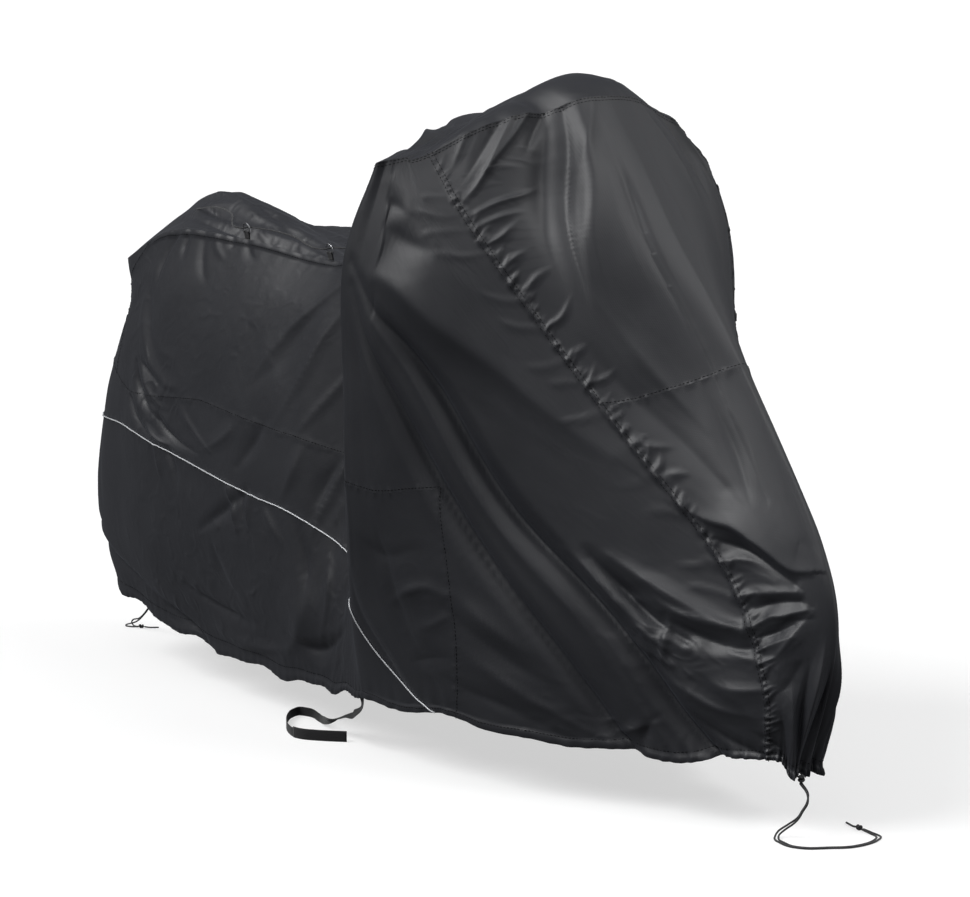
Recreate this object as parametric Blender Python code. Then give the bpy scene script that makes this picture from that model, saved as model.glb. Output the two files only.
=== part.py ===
"""Fitted cloth cover for a large touring motorcycle, as it hangs on the machine.

X points forwards, Y to the machine's left and Z up.  The machine itself is left
out: the cover is a hollow set of sewn panels, held up from inside at its top.
The tables below give each place upright, with its height above the floor; the
whole cover then leans with the machine on its side stand.
"""
import math

import bmesh
import bpy
import numpy as np
from mathutils import Vector

# ---------------------------------------------------------------- sizes, metres
CLOTH = 0.0016            # thickness of each cloth sheet, with its coating
GAP = 0.0006              # gap left between two pieces that meet
LEAN = math.radians(2.95)  # lean of the machine on its side stand
MOUNT = (0.30, 0.071, 1.4142) # under the top of the cap, leaned, above the floor

# Stations around the girth, from the middle of the back to the middle of the
# front.  Each row gives one rib of the drape, from the hem to the rim, as
# (forwards, outwards, height).  "at" is the way around the girth to the rib.
RIBS = [
    # name, at, hem, low, middle, high, upper, rim
    ("back", 0.00, (-1.12, 0.00, 0.17), (-1.19, 0.00, 0.33), (-1.19, 0.00, 0.53),
     (-1.15, 0.00, 0.70), (-1.10, 0.00, 0.86), (-1.04, 0.00, 1.04)),
    ("back_corner", 0.17, (-1.08, 0.15, 0.16), (-1.16, 0.16, 0.32), (-1.15, 0.165, 0.53),
     (-1.10, 0.165, 0.70), (-1.045, 0.16, 0.845), (-1.07, 0.16, 0.935)),
    ("tail_side", 0.38, (-0.90, 0.19, 0.125), (-0.95, 0.23, 0.30), (-0.95, 0.245, 0.50),
     (-0.93, 0.245, 0.68), (-0.90, 0.235, 0.86), (-0.86, 0.205, 1.01)),
    ("seat_side", 0.74, (-0.58, 0.215, 0.09), (-0.60, 0.27, 0.28), (-0.60, 0.29, 0.48),
     (-0.59, 0.285, 0.69), (-0.56, 0.26, 0.88), (-0.53, 0.215, 1.02)),
    ("knee", 1.10, (-0.24, 0.25, 0.09), (-0.24, 0.29, 0.27), (-0.24, 0.30, 0.47),
     (-0.23, 0.29, 0.69), (-0.21, 0.265, 0.88), (-0.17, 0.22, 1.005)),
    ("recess", 1.36, (-0.08, 0.265, 0.10), (-0.05, 0.29, 0.28), (-0.02, 0.275, 0.49),
     (0.00, 0.265, 0.71), (0.01, 0.27, 0.90), (0.02, 0.30, 1.09)),
    ("behind_bar", 1.50, (0.00, 0.28, 0.105), (0.035, 0.335, 0.29), (0.08, 0.39, 0.53),
     (0.10, 0.42, 0.79), (0.105, 0.435, 1.02), (0.15, 0.405, 1.22)),
    ("bar_end", 1.53, (0.02, 0.285, 0.11), (0.055, 0.355, 0.30), (0.10, 0.415, 0.53),
     (0.12, 0.44, 0.79), (0.125, 0.455, 1.03), (0.175, 0.425, 1.23)),
    ("bar_front", 1.60, (0.14, 0.295, 0.115), (0.165, 0.355, 0.30), (0.175, 0.41, 0.53),
     (0.175, 0.44, 0.78), (0.175, 0.45, 1.02), (0.195, 0.413, 1.238)),
    ("engine", 1.78, (0.40, 0.275, 0.12), (0.375, 0.325, 0.33), (0.33, 0.36, 0.57),
     (0.28, 0.40, 0.82), (0.23, 0.43, 1.05), (0.208, 0.402, 1.242)),
    ("wheel_side", 2.02, (0.70, 0.155, 0.11), (0.67, 0.205, 0.33), (0.55, 0.265, 0.56),
     (0.42, 0.33, 0.82), (0.30, 0.395, 1.07), (0.221, 0.387, 1.246)),
    ("princess", 2.25, (0.98, 0.065, 0.145), (0.98, 0.085, 0.30), (0.865, 0.10, 0.515),
     (0.61, 0.195, 0.79), (0.37, 0.32, 1.10), (0.25, 0.35, 1.255)),
    ("fairing", 2.40, (1.02, 0.035, 0.125), (1.045, 0.045, 0.34), (0.97, 0.06, 0.55),
     (0.715, 0.095, 0.83), (0.49, 0.185, 1.14), (0.335, 0.21, 1.335)),
    ("front", 2.52, (1.02, 0.00, 0.115), (1.08, 0.00, 0.36), (1.02, 0.00, 0.575),
     (0.80, 0.00, 0.88), (0.60, 0.00, 1.135), (0.405, 0.00, 1.38)),
]
CORNER, FOLD, PRINCESS, FRONT = 0.17, 1.53, 2.25, 2.52

# Top strip: for each rib "at", the place half way in from the rim and the
# middle of the strip, as (forwards, outwards, height) and (forwards, height).
STRIP = [
    # at, half way in, middle
    (0.17, (-1.060, 0.085, 1.010), (-1.04, 1.040)),
    (0.38, (-0.88, 0.110, 1.040), (-0.91, 1.095)),
    (0.74, (-0.54, 0.110, 1.000), (-0.55, 1.015)),
    (1.10, (-0.22, 0.110, 0.985), (-0.30, 0.980)),
    (1.36, (-0.08, 0.150, 1.080), (-0.17, 1.100)),
    (1.53, (0.03, 0.200, 1.252), (-0.06, 1.284)),
    (1.78, (0.12, 0.200, 1.290), (0.06, 1.332)),
    (2.02, (0.17, 0.200, 1.300), (0.14, 1.372)),
    (2.25, (0.22, 0.200, 1.318), (0.23, 1.398)),
]
FAR_BAR = (0.12, -0.03, -0.05)  # the bars are turned a little: left end against right
CAP_RISE = 0.030          # rise of the cap over the head of the windscreen


def hermite(rows, stops, x):
    """Smooth curve through rows[i] at stops[i], with three-point slopes."""
    stops = np.asarray(stops, float)
    rows = np.asarray(rows, float)
    step = np.diff(stops)
    slope = np.diff(rows, axis=0) / step.reshape((-1,) + (1,) * (rows.ndim - 1))
    tangent = np.empty_like(rows)
    tangent[0], tangent[-1] = slope[0], slope[-1]
    for i in range(1, len(stops) - 1):
        tangent[i] = (slope[i - 1] * step[i] + slope[i] * step[i - 1]) / (step[i - 1] + step[i])
    i = min(max(int(np.searchsorted(stops, x, side="right")) - 1, 0), len(step) - 1)
    h = step[i]
    u = (x - stops[i]) / h
    return ((1 + 2 * u) * (1 - u) ** 2 * rows[i] + u * (1 - u) ** 2 * h * tangent[i]
            + u * u * (3 - 2 * u) * rows[i + 1] + u * u * (u - 1) * h * tangent[i + 1])


def smooth(x):
    """Soft step from 0 to 1."""
    x = min(max(x, 0.0), 1.0)
    return x * x * (3 - 2 * x)


LEVELS = [0.0, 0.2, 0.4, 0.6, 0.8, 1.0]
RIB_AT = [rib[1] for rib in RIBS]
RIB_AT = [-RIB_AT[1]] + RIB_AT + [2 * FRONT - RIB_AT[-2]]
RIB_ROWS = [np.array(rib[2:]) for rib in RIBS]
MIRROR = np.array([1.0, -1.0, 1.0])
RIB_ROWS = [RIB_ROWS[1] * MIRROR] + RIB_ROWS + [RIB_ROWS[-2] * MIRROR]


def drape(s, t, far=False):
    """Upright place (forwards, outwards, height) on one side of the cover."""
    place = hermite(hermite(RIB_ROWS, RIB_AT, s), LEVELS, t)
    if far:
        near_bar = smooth((s - 1.05) / 0.45) * (1 - smooth((s - 2.25) / 0.27))
        place = place + np.array(FAR_BAR) * near_bar * smooth((t - 0.55) / 0.45)
    return place


def strip(s, u):
    """Upright place (forwards, left, height) on the top strip; u -1 is right."""
    edge = drape(s, 1.0)
    far = drape(s, 1.0, True)
    half = hermite([row[1] for row in STRIP], [row[0] for row in STRIP], s)
    top = hermite([row[2] for row in STRIP], [row[0] for row in STRIP], s)
    rows = [edge * MIRROR, half * MIRROR, (top[0], 0.0, top[1]), half + (far - edge) / 2, far]
    return hermite(rows, [-1.0, -0.5, 0.0, 0.5, 1.0], u)



# ------------------------------------------------------- seams and cutting grid
# Columns of the cutting grid around the girth.  The named ones follow a seam,
# so they move a little from row to row by the shifts below.
COLUMNS = [0.0, 0.10, 0.20, 0.32, 0.44, 0.56, 0.65, 0.74, 0.84, 0.94, 1.03, 1.12, 1.22,
           1.31, 1.39, 1.46, 1.505, 1.53, 1.56, 1.59, 1.62, 1.65, 1.685, 1.78, 1.84,
           1.90, 1.96, 2.02, 2.08, 2.14, 2.20, 2.25, 2.31, 2.37, 2.43, 2.48, 2.52]
TAIL, BAR, BAND, CAP, PRIN = 2, 17, 23, 31, 31   # columns on seams and on the bar end
LAST = len(COLUMNS) - 1
TAIL_SEAM = [  # part of the way up from the level seam to the rim, shift
    (0.0, 0.08), (0.25, 0.06), (0.5, -0.01), (0.75, 0.02), (1.0, 0.12)]
BAND_SEAM = [  # part of the way up from the hem to the level seam, shift
    (0.0, -0.06), (0.5, -0.025), (1.0, 0.0)]
LEVEL_SEAM = [  # at, part of the way up the rib
    (0.0, 0.61), (0.17, 0.61), (0.38, 0.555), (0.74, 0.57), (1.10, 0.54), (1.36, 0.50),
    (1.53, 0.445), (1.78, 0.42), (2.02, 0.52), (2.25, 0.60), (2.52, 0.60)]
PIPING_LINE = [  # at, part of the way up the rib; forward of the bar it runs to the hem
    (0.0, 0.44), (0.17, 0.43), (0.38, 0.47), (0.74, 0.435), (1.10, 0.40), (1.36, 0.31),
    (1.53, 0.22), (1.59, 0.17), (1.65, 0.14), (1.80, 0.17), (2.25, 0.28), (2.52, 0.28)]
LOW, MID, TOP = 5, 10, 20      # rows at the piping, at the level seam and at the rim
ACROSS = 10                    # cells across the top strip

# Main folds: route as (at, part of the way up), half width and height, metres.
FOLDS = [
    # name, sides, route, half width, height
    ("fan_trough", "RL", [(1.56, 0.80), (1.92, 0.57), (2.03, 0.37), (2.09, 0.20), (2.18, 0.03)],
     0.065, -0.026),
    ("fan_ridge", "RL", [(1.55, 0.78), (1.72, 0.52), (1.86, 0.32), (2.00, 0.08)], 0.060, 0.016),
    ("fan_low", "R", [(1.55, 0.76), (1.64, 0.50), (1.75, 0.30)], 0.045, -0.009),
    ("shin_ridge", "RL", [(1.58, 0.82), (2.02, 0.66), (2.12, 0.47), (2.16, 0.25)], 0.065, 0.017),
    ("tank_trough", "R", [(1.65, 0.86), (2.05, 0.74), (2.16, 0.60), (2.20, 0.45)], 0.055, -0.012),
    ("tank_ridge", "R", [(1.60, 0.88), (2.00, 0.82), (2.20, 0.64)], 0.065, 0.014),
    ("screen_trough", "R", [(2.46, 1.00), (2.405, 0.80), (2.337, 0.72)], 0.050, -0.016),
    ("screen_ridge", "RL", [(2.47, 0.98), (2.44, 0.84), (2.41, 0.74), (2.38, 0.64)], 0.055, 0.014),
    ("bow_trough", "R", [(2.49, 0.99), (2.487, 0.90), (2.47, 0.73), (2.46, 0.60), (2.44, 0.45)],
     0.040, -0.014),
    ("nose_crease", "R", [(2.27, 0.38), (2.40, 0.36), (2.50, 0.37)], 0.040, 0.012),
    ("wheel_pocket", "R", [(2.06, 0.26), (2.16, 0.22), (2.24, 0.24)], 0.050, -0.014),
    ("cinch_ridge", "RL", [(2.40, 0.02), (2.39, 0.30)], 0.035, 0.008),
    ("knee_ridge", "R", [(1.25, 0.82), (1.06, 0.57), (0.95, 0.46)], 0.045, 0.010),
    ("knee_hollow", "RL", [(1.16, 0.96), (1.00, 0.70), (0.84, 0.60)], 0.050, -0.008),
    ("tail_crumple", "R", [(0.40, 0.64), (0.48, 0.50), (0.62, 0.44)], 0.050, -0.014),
    ("tail_crease", "RL", [(0.36, 0.90), (0.46, 0.72), (0.60, 0.60)], 0.050, -0.012),
    ("lip_tuck", "R", [(0.50, 0.98), (0.47, 0.85)], 0.050, -0.012),
    ("lip_tuck_two", "R", [(0.68, 0.98), (0.64, 0.86)], 0.045, -0.010),
    ("low_fold", "RL", [(0.10, 0.22), (0.40, 0.14), (0.80, 0.09), (1.10, 0.12)], 0.050, -0.013),
    ("panel_fold", "RL", [(0.70, 0.42), (0.86, 0.28), (1.10, 0.18)], 0.055, -0.010),
    ("panel_ridge", "R", [(0.84, 0.40), (1.00, 0.30), (1.24, 0.06)], 0.050, 0.010),
    ("shin_low", "R", [(1.60, 0.34), (1.72, 0.20), (1.92, 0.03)], 0.050, -0.010),
]
HEM_WAVE = 0.006          # rise and fall of the gathered hem


def table(rows, x):
    """Straight-line reading of a two-column table."""
    return float(np.interp(x, [row[0] for row in rows], [row[1] for row in rows]))


def place_on_rib(i, j):
    """Where column i and row j of the grid fall: (at, part of the way up)."""
    s = COLUMNS[i]
    up = max(j - MID, 0) / (TOP - MID)
    low = min(j / MID, 1.0)
    if j >= MID:
        s += table(TAIL_SEAM, up) * {TAIL: 1.0, TAIL + 1: 0.4}.get(i, 0.0)
    s += table(BAND_SEAM, low) * {BAND: 1.0, BAND + 1: 0.4}.get(i, 0.0)
    piping, level = table(PIPING_LINE, s), table(LEVEL_SEAM, s)
    if j <= LOW:
        return s, piping * j / LOW
    if j <= MID:
        return s, piping + (level - piping) * (j - LOW) / (MID - LOW)
    return s, level + (1 - level) * up


def smooth_normal(s, t, far):
    """Outward normal of the plain drape in (forwards, outwards, height)."""
    d = 0.01
    along = drape(s + d, t, far) - drape(s - d, t, far)
    upward = drape(s, min(t + d, 1.0), far) - drape(s, max(t - d, 0.0), far)
    normal = np.cross(upward, along)
    return normal / max(np.linalg.norm(normal), 1e-9)


def fold_line(route, far):
    """Close-spaced points of a fold on the plain drape."""
    stops = np.linspace(0.0, 1.0, len(route))
    steps = np.linspace(0.0, 1.0, 25)
    ats = np.interp(steps, stops, [p[0] for p in route])
    ups = np.interp(steps, stops, [p[1] for p in route])
    return np.array([drape(s, t, far) for s, t in zip(ats, ups)])


FOLD_LINES = {side: [(fold_line(row[2], side == "L"), row[3], row[4])
                     for row in FOLDS if side in row[1]] for side in "RL"}


def fold_height(point, side):
    """How far the cloth stands off its plain drape at a point."""
    total = 0.0
    for line, width, height in FOLD_LINES[side]:
        away = np.linalg.norm(line - point, axis=1)
        k = int(np.argmin(away))
        if away[k] < width:
            fade = smooth((k + 3) / 8) * smooth((len(line) + 2 - k) / 8)
            total += height * fade * 0.5 * (1 + math.cos(math.pi * away[k] / width))
    return total


def leaned(p):
    """From upright (forwards, left, height) to the leaned place from the mount."""
    c, n = math.cos(LEAN), math.sin(LEAN)
    x, y, z = float(p[0]), float(p[1]), float(p[2])
    return Vector((x, y * c + z * n, z * c - y * n)) - Vector(MOUNT)


def from_floor(x, y, z):
    """A place given straight in the leaned frame, with its height above the floor."""
    return Vector((x, y, z)) - Vector(MOUNT)


# ------------------------------------------------------------- shared cloth grid
points = {}


def side_key(side, i, j):
    """Name of one grid corner; the two sides share the back and the front."""
    if i in (0, LAST):
        side = "C"
    key = (side, i, j)
    if key not in points:
        far = side == "L"
        s, t = place_on_rib(i, j)
        plain = drape(s, t, far)
        shape = "L" if far else "R"
        tip = smooth((s - 1.4) / 0.1) * (1 - smooth((s - 2.25) / 0.1)) * smooth((t - 0.8) / 0.2)
        stand_off = fold_height(plain, shape) * (1 - tip) * (side != "C")
        plain = plain + smooth_normal(s, t, far) * stand_off
        gather = math.sin(23 * s) + 0.6 * math.sin(41 * s + 1.0)
        plain[2] += HEM_WAVE * gather * (1 - smooth(t / 0.06)) * (side != "C")
        points[key] = leaned((plain[0], plain[1] if far else -plain[1], plain[2]))
    return key


def strip_key(i, k):
    """Name of one grid corner on the top strip, shared with the sides at its edges."""
    if k == 0:
        return side_key("R", i, TOP)
    if k == ACROSS:
        return side_key("L", i, TOP)
    key = ("T", i, k)
    if key not in points:
        points[key] = leaned(strip(place_on_rib(i, TOP)[0], 2 * k / ACROSS - 1))
    return key


def zipped(low, high):
    """Triangles between two rows of corners that need not hold the same number."""
    faces = []
    a = b = 0
    while a < len(low) - 1 or b < len(high) - 1:
        step_low = (a + 1) / (len(low) - 1) if a < len(low) - 1 else 2.0
        step_high = (b + 1) / (len(high) - 1) if b < len(high) - 1 else 2.0
        if step_low <= step_high:
            faces.append((low[a], high[b], low[a + 1]))
            a += 1
        else:
            faces.append((low[a], high[b], high[b + 1]))
            b += 1
    return [f for f in faces if len(set(f)) == 3]


def panel_of(i, j):
    """Names of the panels that own the lower and the upper half of a side cell."""
    if i >= PRIN:
        name = "front_lower" if j < MID else "front_upper"
        return name, name
    if j >= MID:
        return ("tail",) * 2 if i < TAIL else ("side_main",) * 2
    if i >= BAND:
        return "side_main", "side_main"
    edge = LOW if i < BAR else LOW - 1 - (i - BAR)
    if i < BAR or j != edge:
        return ("side_low",) * 2 if j < edge else ("side_band",) * 2
    return "side_low", "side_band"


panels = {}
for side, tag in (("R", "_right"), ("L", "_left")):
    for i in range(LAST):
        for j in range(TOP):
            a, b = side_key(side, i, j), side_key(side, i + 1, j)
            c, d = side_key(side, i + 1, j + 1), side_key(side, i, j + 1)
            for name, face in zip(panel_of(i, j), ((a, b, d), (b, c, d))):
                if name.startswith("side"):
                    name += tag
                panels.setdefault(name, []).append(face if side == "R" else face[::-1])

rows = [[side_key("R", i, TOP) for i in range(TAIL, 0, -1)]
        + [side_key("L", i, TOP) for i in range(0, TAIL + 1)]]
rows += [[strip_key(i, k) for k in range(ACROSS + 1)] for i in range(TAIL + 1, CAP + 1)]
panels["top_strip"] = []
for low, high in zip(rows, rows[1:]):
    panels["top_strip"] += zipped(low, high)

back_row = rows[-1]
front_row = [side_key("R", i, TOP) for i in range(CAP, LAST + 1)]
front_row += [side_key("L", i, TOP) for i in range(LAST - 1, CAP - 1, -1)]
cap_rows = [back_row]
for step in (1 / 3, 2 / 3):
    row = [back_row[0]]
    for k in range(1, len(back_row) - 1):
        key = ("K", step, k)
        rise = CAP_RISE * 4 * step * (1 - step) * math.sin(math.pi * k / ACROSS)
        points[key] = points[back_row[k]].lerp(points[front_row[k]], step) + Vector((0, 0, rise))
        row.append(key)
    cap_rows.append(row + [back_row[-1]])
cap_rows.append(front_row)
panels["cap"] = []
for low, high in zip(cap_rows, cap_rows[1:]):
    for k in range(ACROSS):
        for face in ((low[k], high[k], low[k + 1]), (high[k], high[k + 1], low[k + 1])):
            if len(set(face)) == 3:
                panels["cap"].append(face)

normals = {key: Vector((0, 0, 0)) for key in points}
for faces in panels.values():
    for a, b, c in faces:
        area = (points[b] - points[a]).cross(points[c] - points[a])
        for key in (a, b, c):
            normals[key] = normals[key] + area
for key in normals:
    normals[key].normalize()
beside = {key: set() for key in points}
for faces in panels.values():
    for face in faces:
        for key in face:
            beside[key].update(face)
for even_out in range(3):
    normals = {key: sum((normals[other] for other in beside[key]), Vector()).normalized()
               for key in points}
for side in "RL":         # one direction for the close-set corners at the tip of the bar
    tip = [side_key(side, i, TOP) for i in range(27, PRIN + 1)]
    shared = sum((normals[key] for key in tip), Vector()).normalized()
    for key in tip:
        normals[key] = shared


# ------------------------------------------------------------------ blender part
for old in list(bpy.data.objects):
    bpy.data.objects.remove(old, do_unlink=True)

COLOURS = {"cloth": (0.030, 0.032, 0.037), "webbing": (0.012, 0.012, 0.013),
           "cord": (0.010, 0.010, 0.011), "metal": (0.35, 0.35, 0.36),
           "piping": (0.75, 0.76, 0.77)}


def paint(obj, kind):
    """Give an object a material of its own."""
    material = bpy.data.materials.new(obj.name)
    material.use_nodes = True
    shader = material.node_tree.nodes["Principled BSDF"]
    shader.inputs["Base Color"].default_value = COLOURS[kind] + (1.0,)
    shader.inputs["Roughness"].default_value = 0.35 if kind == "metal" else 0.6
    shader.inputs["Metallic"].default_value = 1.0 if kind == "metal" else 0.0
    obj.data.materials.clear()
    obj.data.materials.append(material)
    return obj


def solid(name, corners, faces, kind, soft=True):
    """A closed solid from corners and faces, with its faces turned outwards."""
    mesh = bpy.data.meshes.new(name)
    mesh.from_pydata([tuple(p) for p in corners], [], faces)
    work = bmesh.new()
    work.from_mesh(mesh)
    bmesh.ops.recalc_face_normals(work, faces=work.faces)
    if work.calc_volume(signed=True) < 0:
        bmesh.ops.reverse_faces(work, faces=work.faces)
    work.to_mesh(mesh)
    work.free()
    mesh.polygons.foreach_set("use_smooth", [soft] * len(mesh.polygons))
    if soft:
        mesh.set_sharp_from_angle(angle=math.radians(50))
    obj = bpy.data.objects.new(name, mesh)
    bpy.context.scene.collection.objects.link(obj)
    return paint(obj, kind)


def cloth_panel(name, faces):
    """One cut panel as a thin closed sheet, drawn in a little from its seams."""
    keys = sorted({key for face in faces for key in face}, key=str)
    index = {key: n for n, key in enumerate(keys)}
    count = {}
    for face in faces:
        for a, b in zip(face, face[1:] + face[:1]):
            count.setdefault(frozenset((a, b)), []).append((a, b, face))
    rim = [uses[0] for uses in count.values() if len(uses) == 1]
    inward = {key: Vector((0, 0, 0)) for key in keys}
    for a, b, face in rim:
        middle = (points[a] + points[b]) / 2
        centre = (points[face[0]] + points[face[1]] + points[face[2]]) / 3
        along = (points[b] - points[a]).normalized()
        into = centre - middle
        into = (into - along * into.dot(along)).normalized()
        inward[a] = inward[a] + into
        inward[b] = inward[b] + into
    corners = []
    for face_side in (0.5, -0.5):
        for key in keys:
            pull = inward[key]
            if pull.length > 1e-6:
                pull = pull.normalized() * (GAP / 2) / max(pull.length / 2, 0.35)
            corners.append(points[key] + pull + normals[key] * CLOTH * face_side)
    n = len(keys)
    shell = [tuple(index[key] for key in face) for face in faces]
    shell += [tuple(index[key] + n for key in face[::-1]) for face in faces]
    for a, b, face in rim:
        shell.append((index[a], index[a] + n, index[b]))
        shell.append((index[b], index[a] + n, index[b] + n))
    return solid(name, corners, shell, "cloth")


for name in sorted(panels):
    cloth_panel(name, panels[name])


def curve_points(route, spacing):
    """Evenly spaced points on a smooth curve through a route."""
    route = [np.array(p, float) for p in route]
    stops = np.concatenate([[0.0], np.cumsum([np.linalg.norm(b - a)
                                              for a, b in zip(route, route[1:])])])
    fine = [hermite(route, stops, x) for x in np.linspace(0, stops[-1], 12 * len(route))]
    run = np.concatenate([[0.0], np.cumsum([np.linalg.norm(b - a)
                                            for a, b in zip(fine, fine[1:])])])
    count = max(int(round(run[-1] / spacing)), 3)
    return [Vector([float(np.interp(x, run, [p[axis] for p in fine])) for axis in range(3)])
            for x in np.linspace(0, run[-1], count + 1)]


def cord(name, path, radius, kind, closed=False, roundness=2):
    """A round cord, wire or bead as a filled tube along its path."""
    curve = bpy.data.curves.new(name, "CURVE")
    curve.dimensions = "3D"
    curve.bevel_depth = radius
    curve.bevel_resolution = roundness
    curve.use_fill_caps = not closed
    line = curve.splines.new("POLY")
    line.points.add(len(path) - 1)
    for point, place in zip(line.points, path):
        point.co = (place[0], place[1], place[2], 1.0)
    line.use_cyclic_u = closed
    line.use_smooth = True
    obj = bpy.data.objects.new(name, curve)
    bpy.context.scene.collection.objects.link(obj)
    return paint(obj, kind)


def ribbon(name, path, widths, thickness, kind):
    """Flat webbing: a closed strip along a path, with its width vector at each point."""
    corners = []
    for n, (place, wide) in enumerate(zip(path, widths)):
        ahead = path[min(n + 1, len(path) - 1)] - path[max(n - 1, 0)]
        face = ahead.cross(wide).normalized() * thickness / 2
        corners += [place - wide / 2 - face, place + wide / 2 - face,
                    place + wide / 2 + face, place - wide / 2 + face]
    faces = [(0, 1, 2, 3)]
    for n in range(len(path) - 1):
        for k in range(4):
            a, b = 4 * n + k, 4 * n + (k + 1) % 4
            faces += [(a, b, b + 4), (a, b + 4, a + 4)]
    last = 4 * (len(path) - 1)
    faces.append((last + 3, last + 2, last + 1, last))
    return solid(name, corners, faces, kind, soft=False)


def knot(name, centre, along, across, length, girth, kind):
    """A tied knot as one lump: a slightly waisted round body."""
    along = along.normalized()
    across = (across - along * across.dot(along)).normalized()
    third = along.cross(across)
    rings, sides = 9, 10
    corners = [centre - along * length / 2]
    for n in range(1, rings):
        angle = math.pi * n / rings
        size = girth / 2 * math.sin(angle) * (1 - 0.12 * math.cos(4 * angle))
        for k in range(sides):
            turn = 2 * math.pi * k / sides + 0.35 * n
            out = across * math.cos(turn) + third * math.sin(turn)
            corners.append(centre - along * math.cos(angle) * length / 2 + out * size)
    corners.append(centre + along * length / 2)
    faces = []
    for k in range(sides):
        nxt = (k + 1) % sides
        faces.append((0, 1 + nxt, 1 + k))
        for n in range(rings - 2):
            a, b = 1 + n * sides + k, 1 + n * sides + nxt
            faces += [(a, b, b + sides), (a, b + sides, a + sides)]
        last = 1 + (rings - 2) * sides
        faces.append((last + k, last + nxt, len(corners) - 1))
    return solid(name, corners, faces, kind)


# --------------------------------------------------- piping in the two long seams
PIPING_R = 0.0015
for side, tag in (("R", "right"), ("L", "left")):
    keys = [side_key(side, i, LOW) for i in range(0, BAR + 1)]
    keys += [side_key(side, BAR + k, LOW - k) for k in range(1, LOW + 1)]
    if tag == "left":
        keys = keys[1:]
    path = [points[key] + normals[key] * (CLOTH / 2 + PIPING_R + 0.0006) for key in keys]
    cord("piping_" + tag, path, PIPING_R, "piping")

# --------------------------------------------- D-rings on tabs along the two rims
RING_COLUMNS = (7, 10)
WIRE_R = 0.0016
TAB_WIDE, TAB_THICK, TAB_HIGH = 0.018, 0.0012, 0.016
RING_WIDE, RING_HIGH = 0.025, 0.020
ring_tops = {}
for side, tag in (("R", "right"), ("L", "left")):
    for number, i in enumerate(RING_COLUMNS, 1):
        foot, seam_normal = points[side_key(side, i, TOP)], normals[side_key(side, i, TOP)]
        run = points[side_key(side, i + 1, TOP)] - points[side_key(side, i - 1, TOP)]
        run.normalize()
        rise = Vector((0, 0, 1)) * 0.8 + seam_normal * 0.5
        rise = (rise - run * rise.dot(run)).normalized()
        across = run.cross(rise)
        base = foot + rise * (CLOTH / 2 + 0.0007 + 0.0001 * number)
        bar = base + rise * TAB_HIGH
        loop_r = WIRE_R + 0.00035 + TAB_THICK / 2
        flat = [(-0.0009, 0.0), (-0.0009, TAB_HIGH - 0.0045), (-loop_r, TAB_HIGH - 0.0006)]
        flat += [(-loop_r * math.cos(a), TAB_HIGH + loop_r * math.sin(a))
                 for a in (0.5, 1.05, math.pi / 2, math.pi - 1.05, math.pi - 0.5)]
        flat += [(-x, z) for x, z in flat[2::-1]]
        path = [base + across * x + rise * z for x, z in flat]
        ribbon("ring_tab_%s_%d" % (tag, number), path, [run * TAB_WIDE] * len(path),
               TAB_THICK, "webbing")
        half = RING_WIDE / 2
        outline = [(-half + 0.002, 0.0), (-half / 3, 0.0), (half / 3, 0.0), (half - 0.002, 0.0)]
        outline += [(half * math.cos(a), 0.002 + (RING_HIGH - 0.002) * math.sin(a))
                    for a in np.linspace(0.05, math.pi - 0.05, 15)]
        ring = [bar + run * float(x) + rise * float(z) for x, z in outline]
        cord("d_ring_%s_%d" % (tag, number), ring, WIRE_R, "metal", closed=True)
        ring_tops[side, number] = (bar + rise * (RING_HIGH / 2), run, rise, across)

# ------------------------------------------------ elastic lacing over the seat
LACE_R = 0.0016
rear_anchor = points[side_key("C", 0, TOP)]
first, second = ring_tops["R", 1], ring_tops["R", 2]
lace = [rear_anchor + Vector((0.006, -0.010, 0.0065)), rear_anchor + Vector((0.05, -0.04, 0.012)),
        first[0] + first[1] * -0.10 + Vector((0, 0.035, 0.012)),
        first[0] + first[1] * -0.024 + first[3] * 0.009,
        first[0] + first[1] * -0.001 + first[3] * 0.0045, first[0] + first[1] * 0.001 - first[3] * 0.0045,
        first[0] + first[1] * 0.024 - first[3] * 0.009,
        first[0].lerp(second[0], 0.5) + Vector((0, 0.012, 0.004)),
        second[0] + second[1] * -0.024 + second[3] * 0.009,
        second[0] + second[1] * -0.001 + second[3] * 0.0045,
        second[0] + second[1] * 0.001 - second[3] * 0.0045,
        second[0] + second[1] * 0.024 - second[3] * 0.009,
        leaned(strip(1.22, -0.66)) + Vector((0, 0, 0.012)),
        leaned(strip(1.34, -0.72)) + Vector((-0.004, 0, 0.005)),
        leaned(strip(1.40, -0.84)) + Vector((-0.002, 0, 0.003))]
cord("lacing_right", curve_points(lace, 0.0135), LACE_R, "cord")

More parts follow.
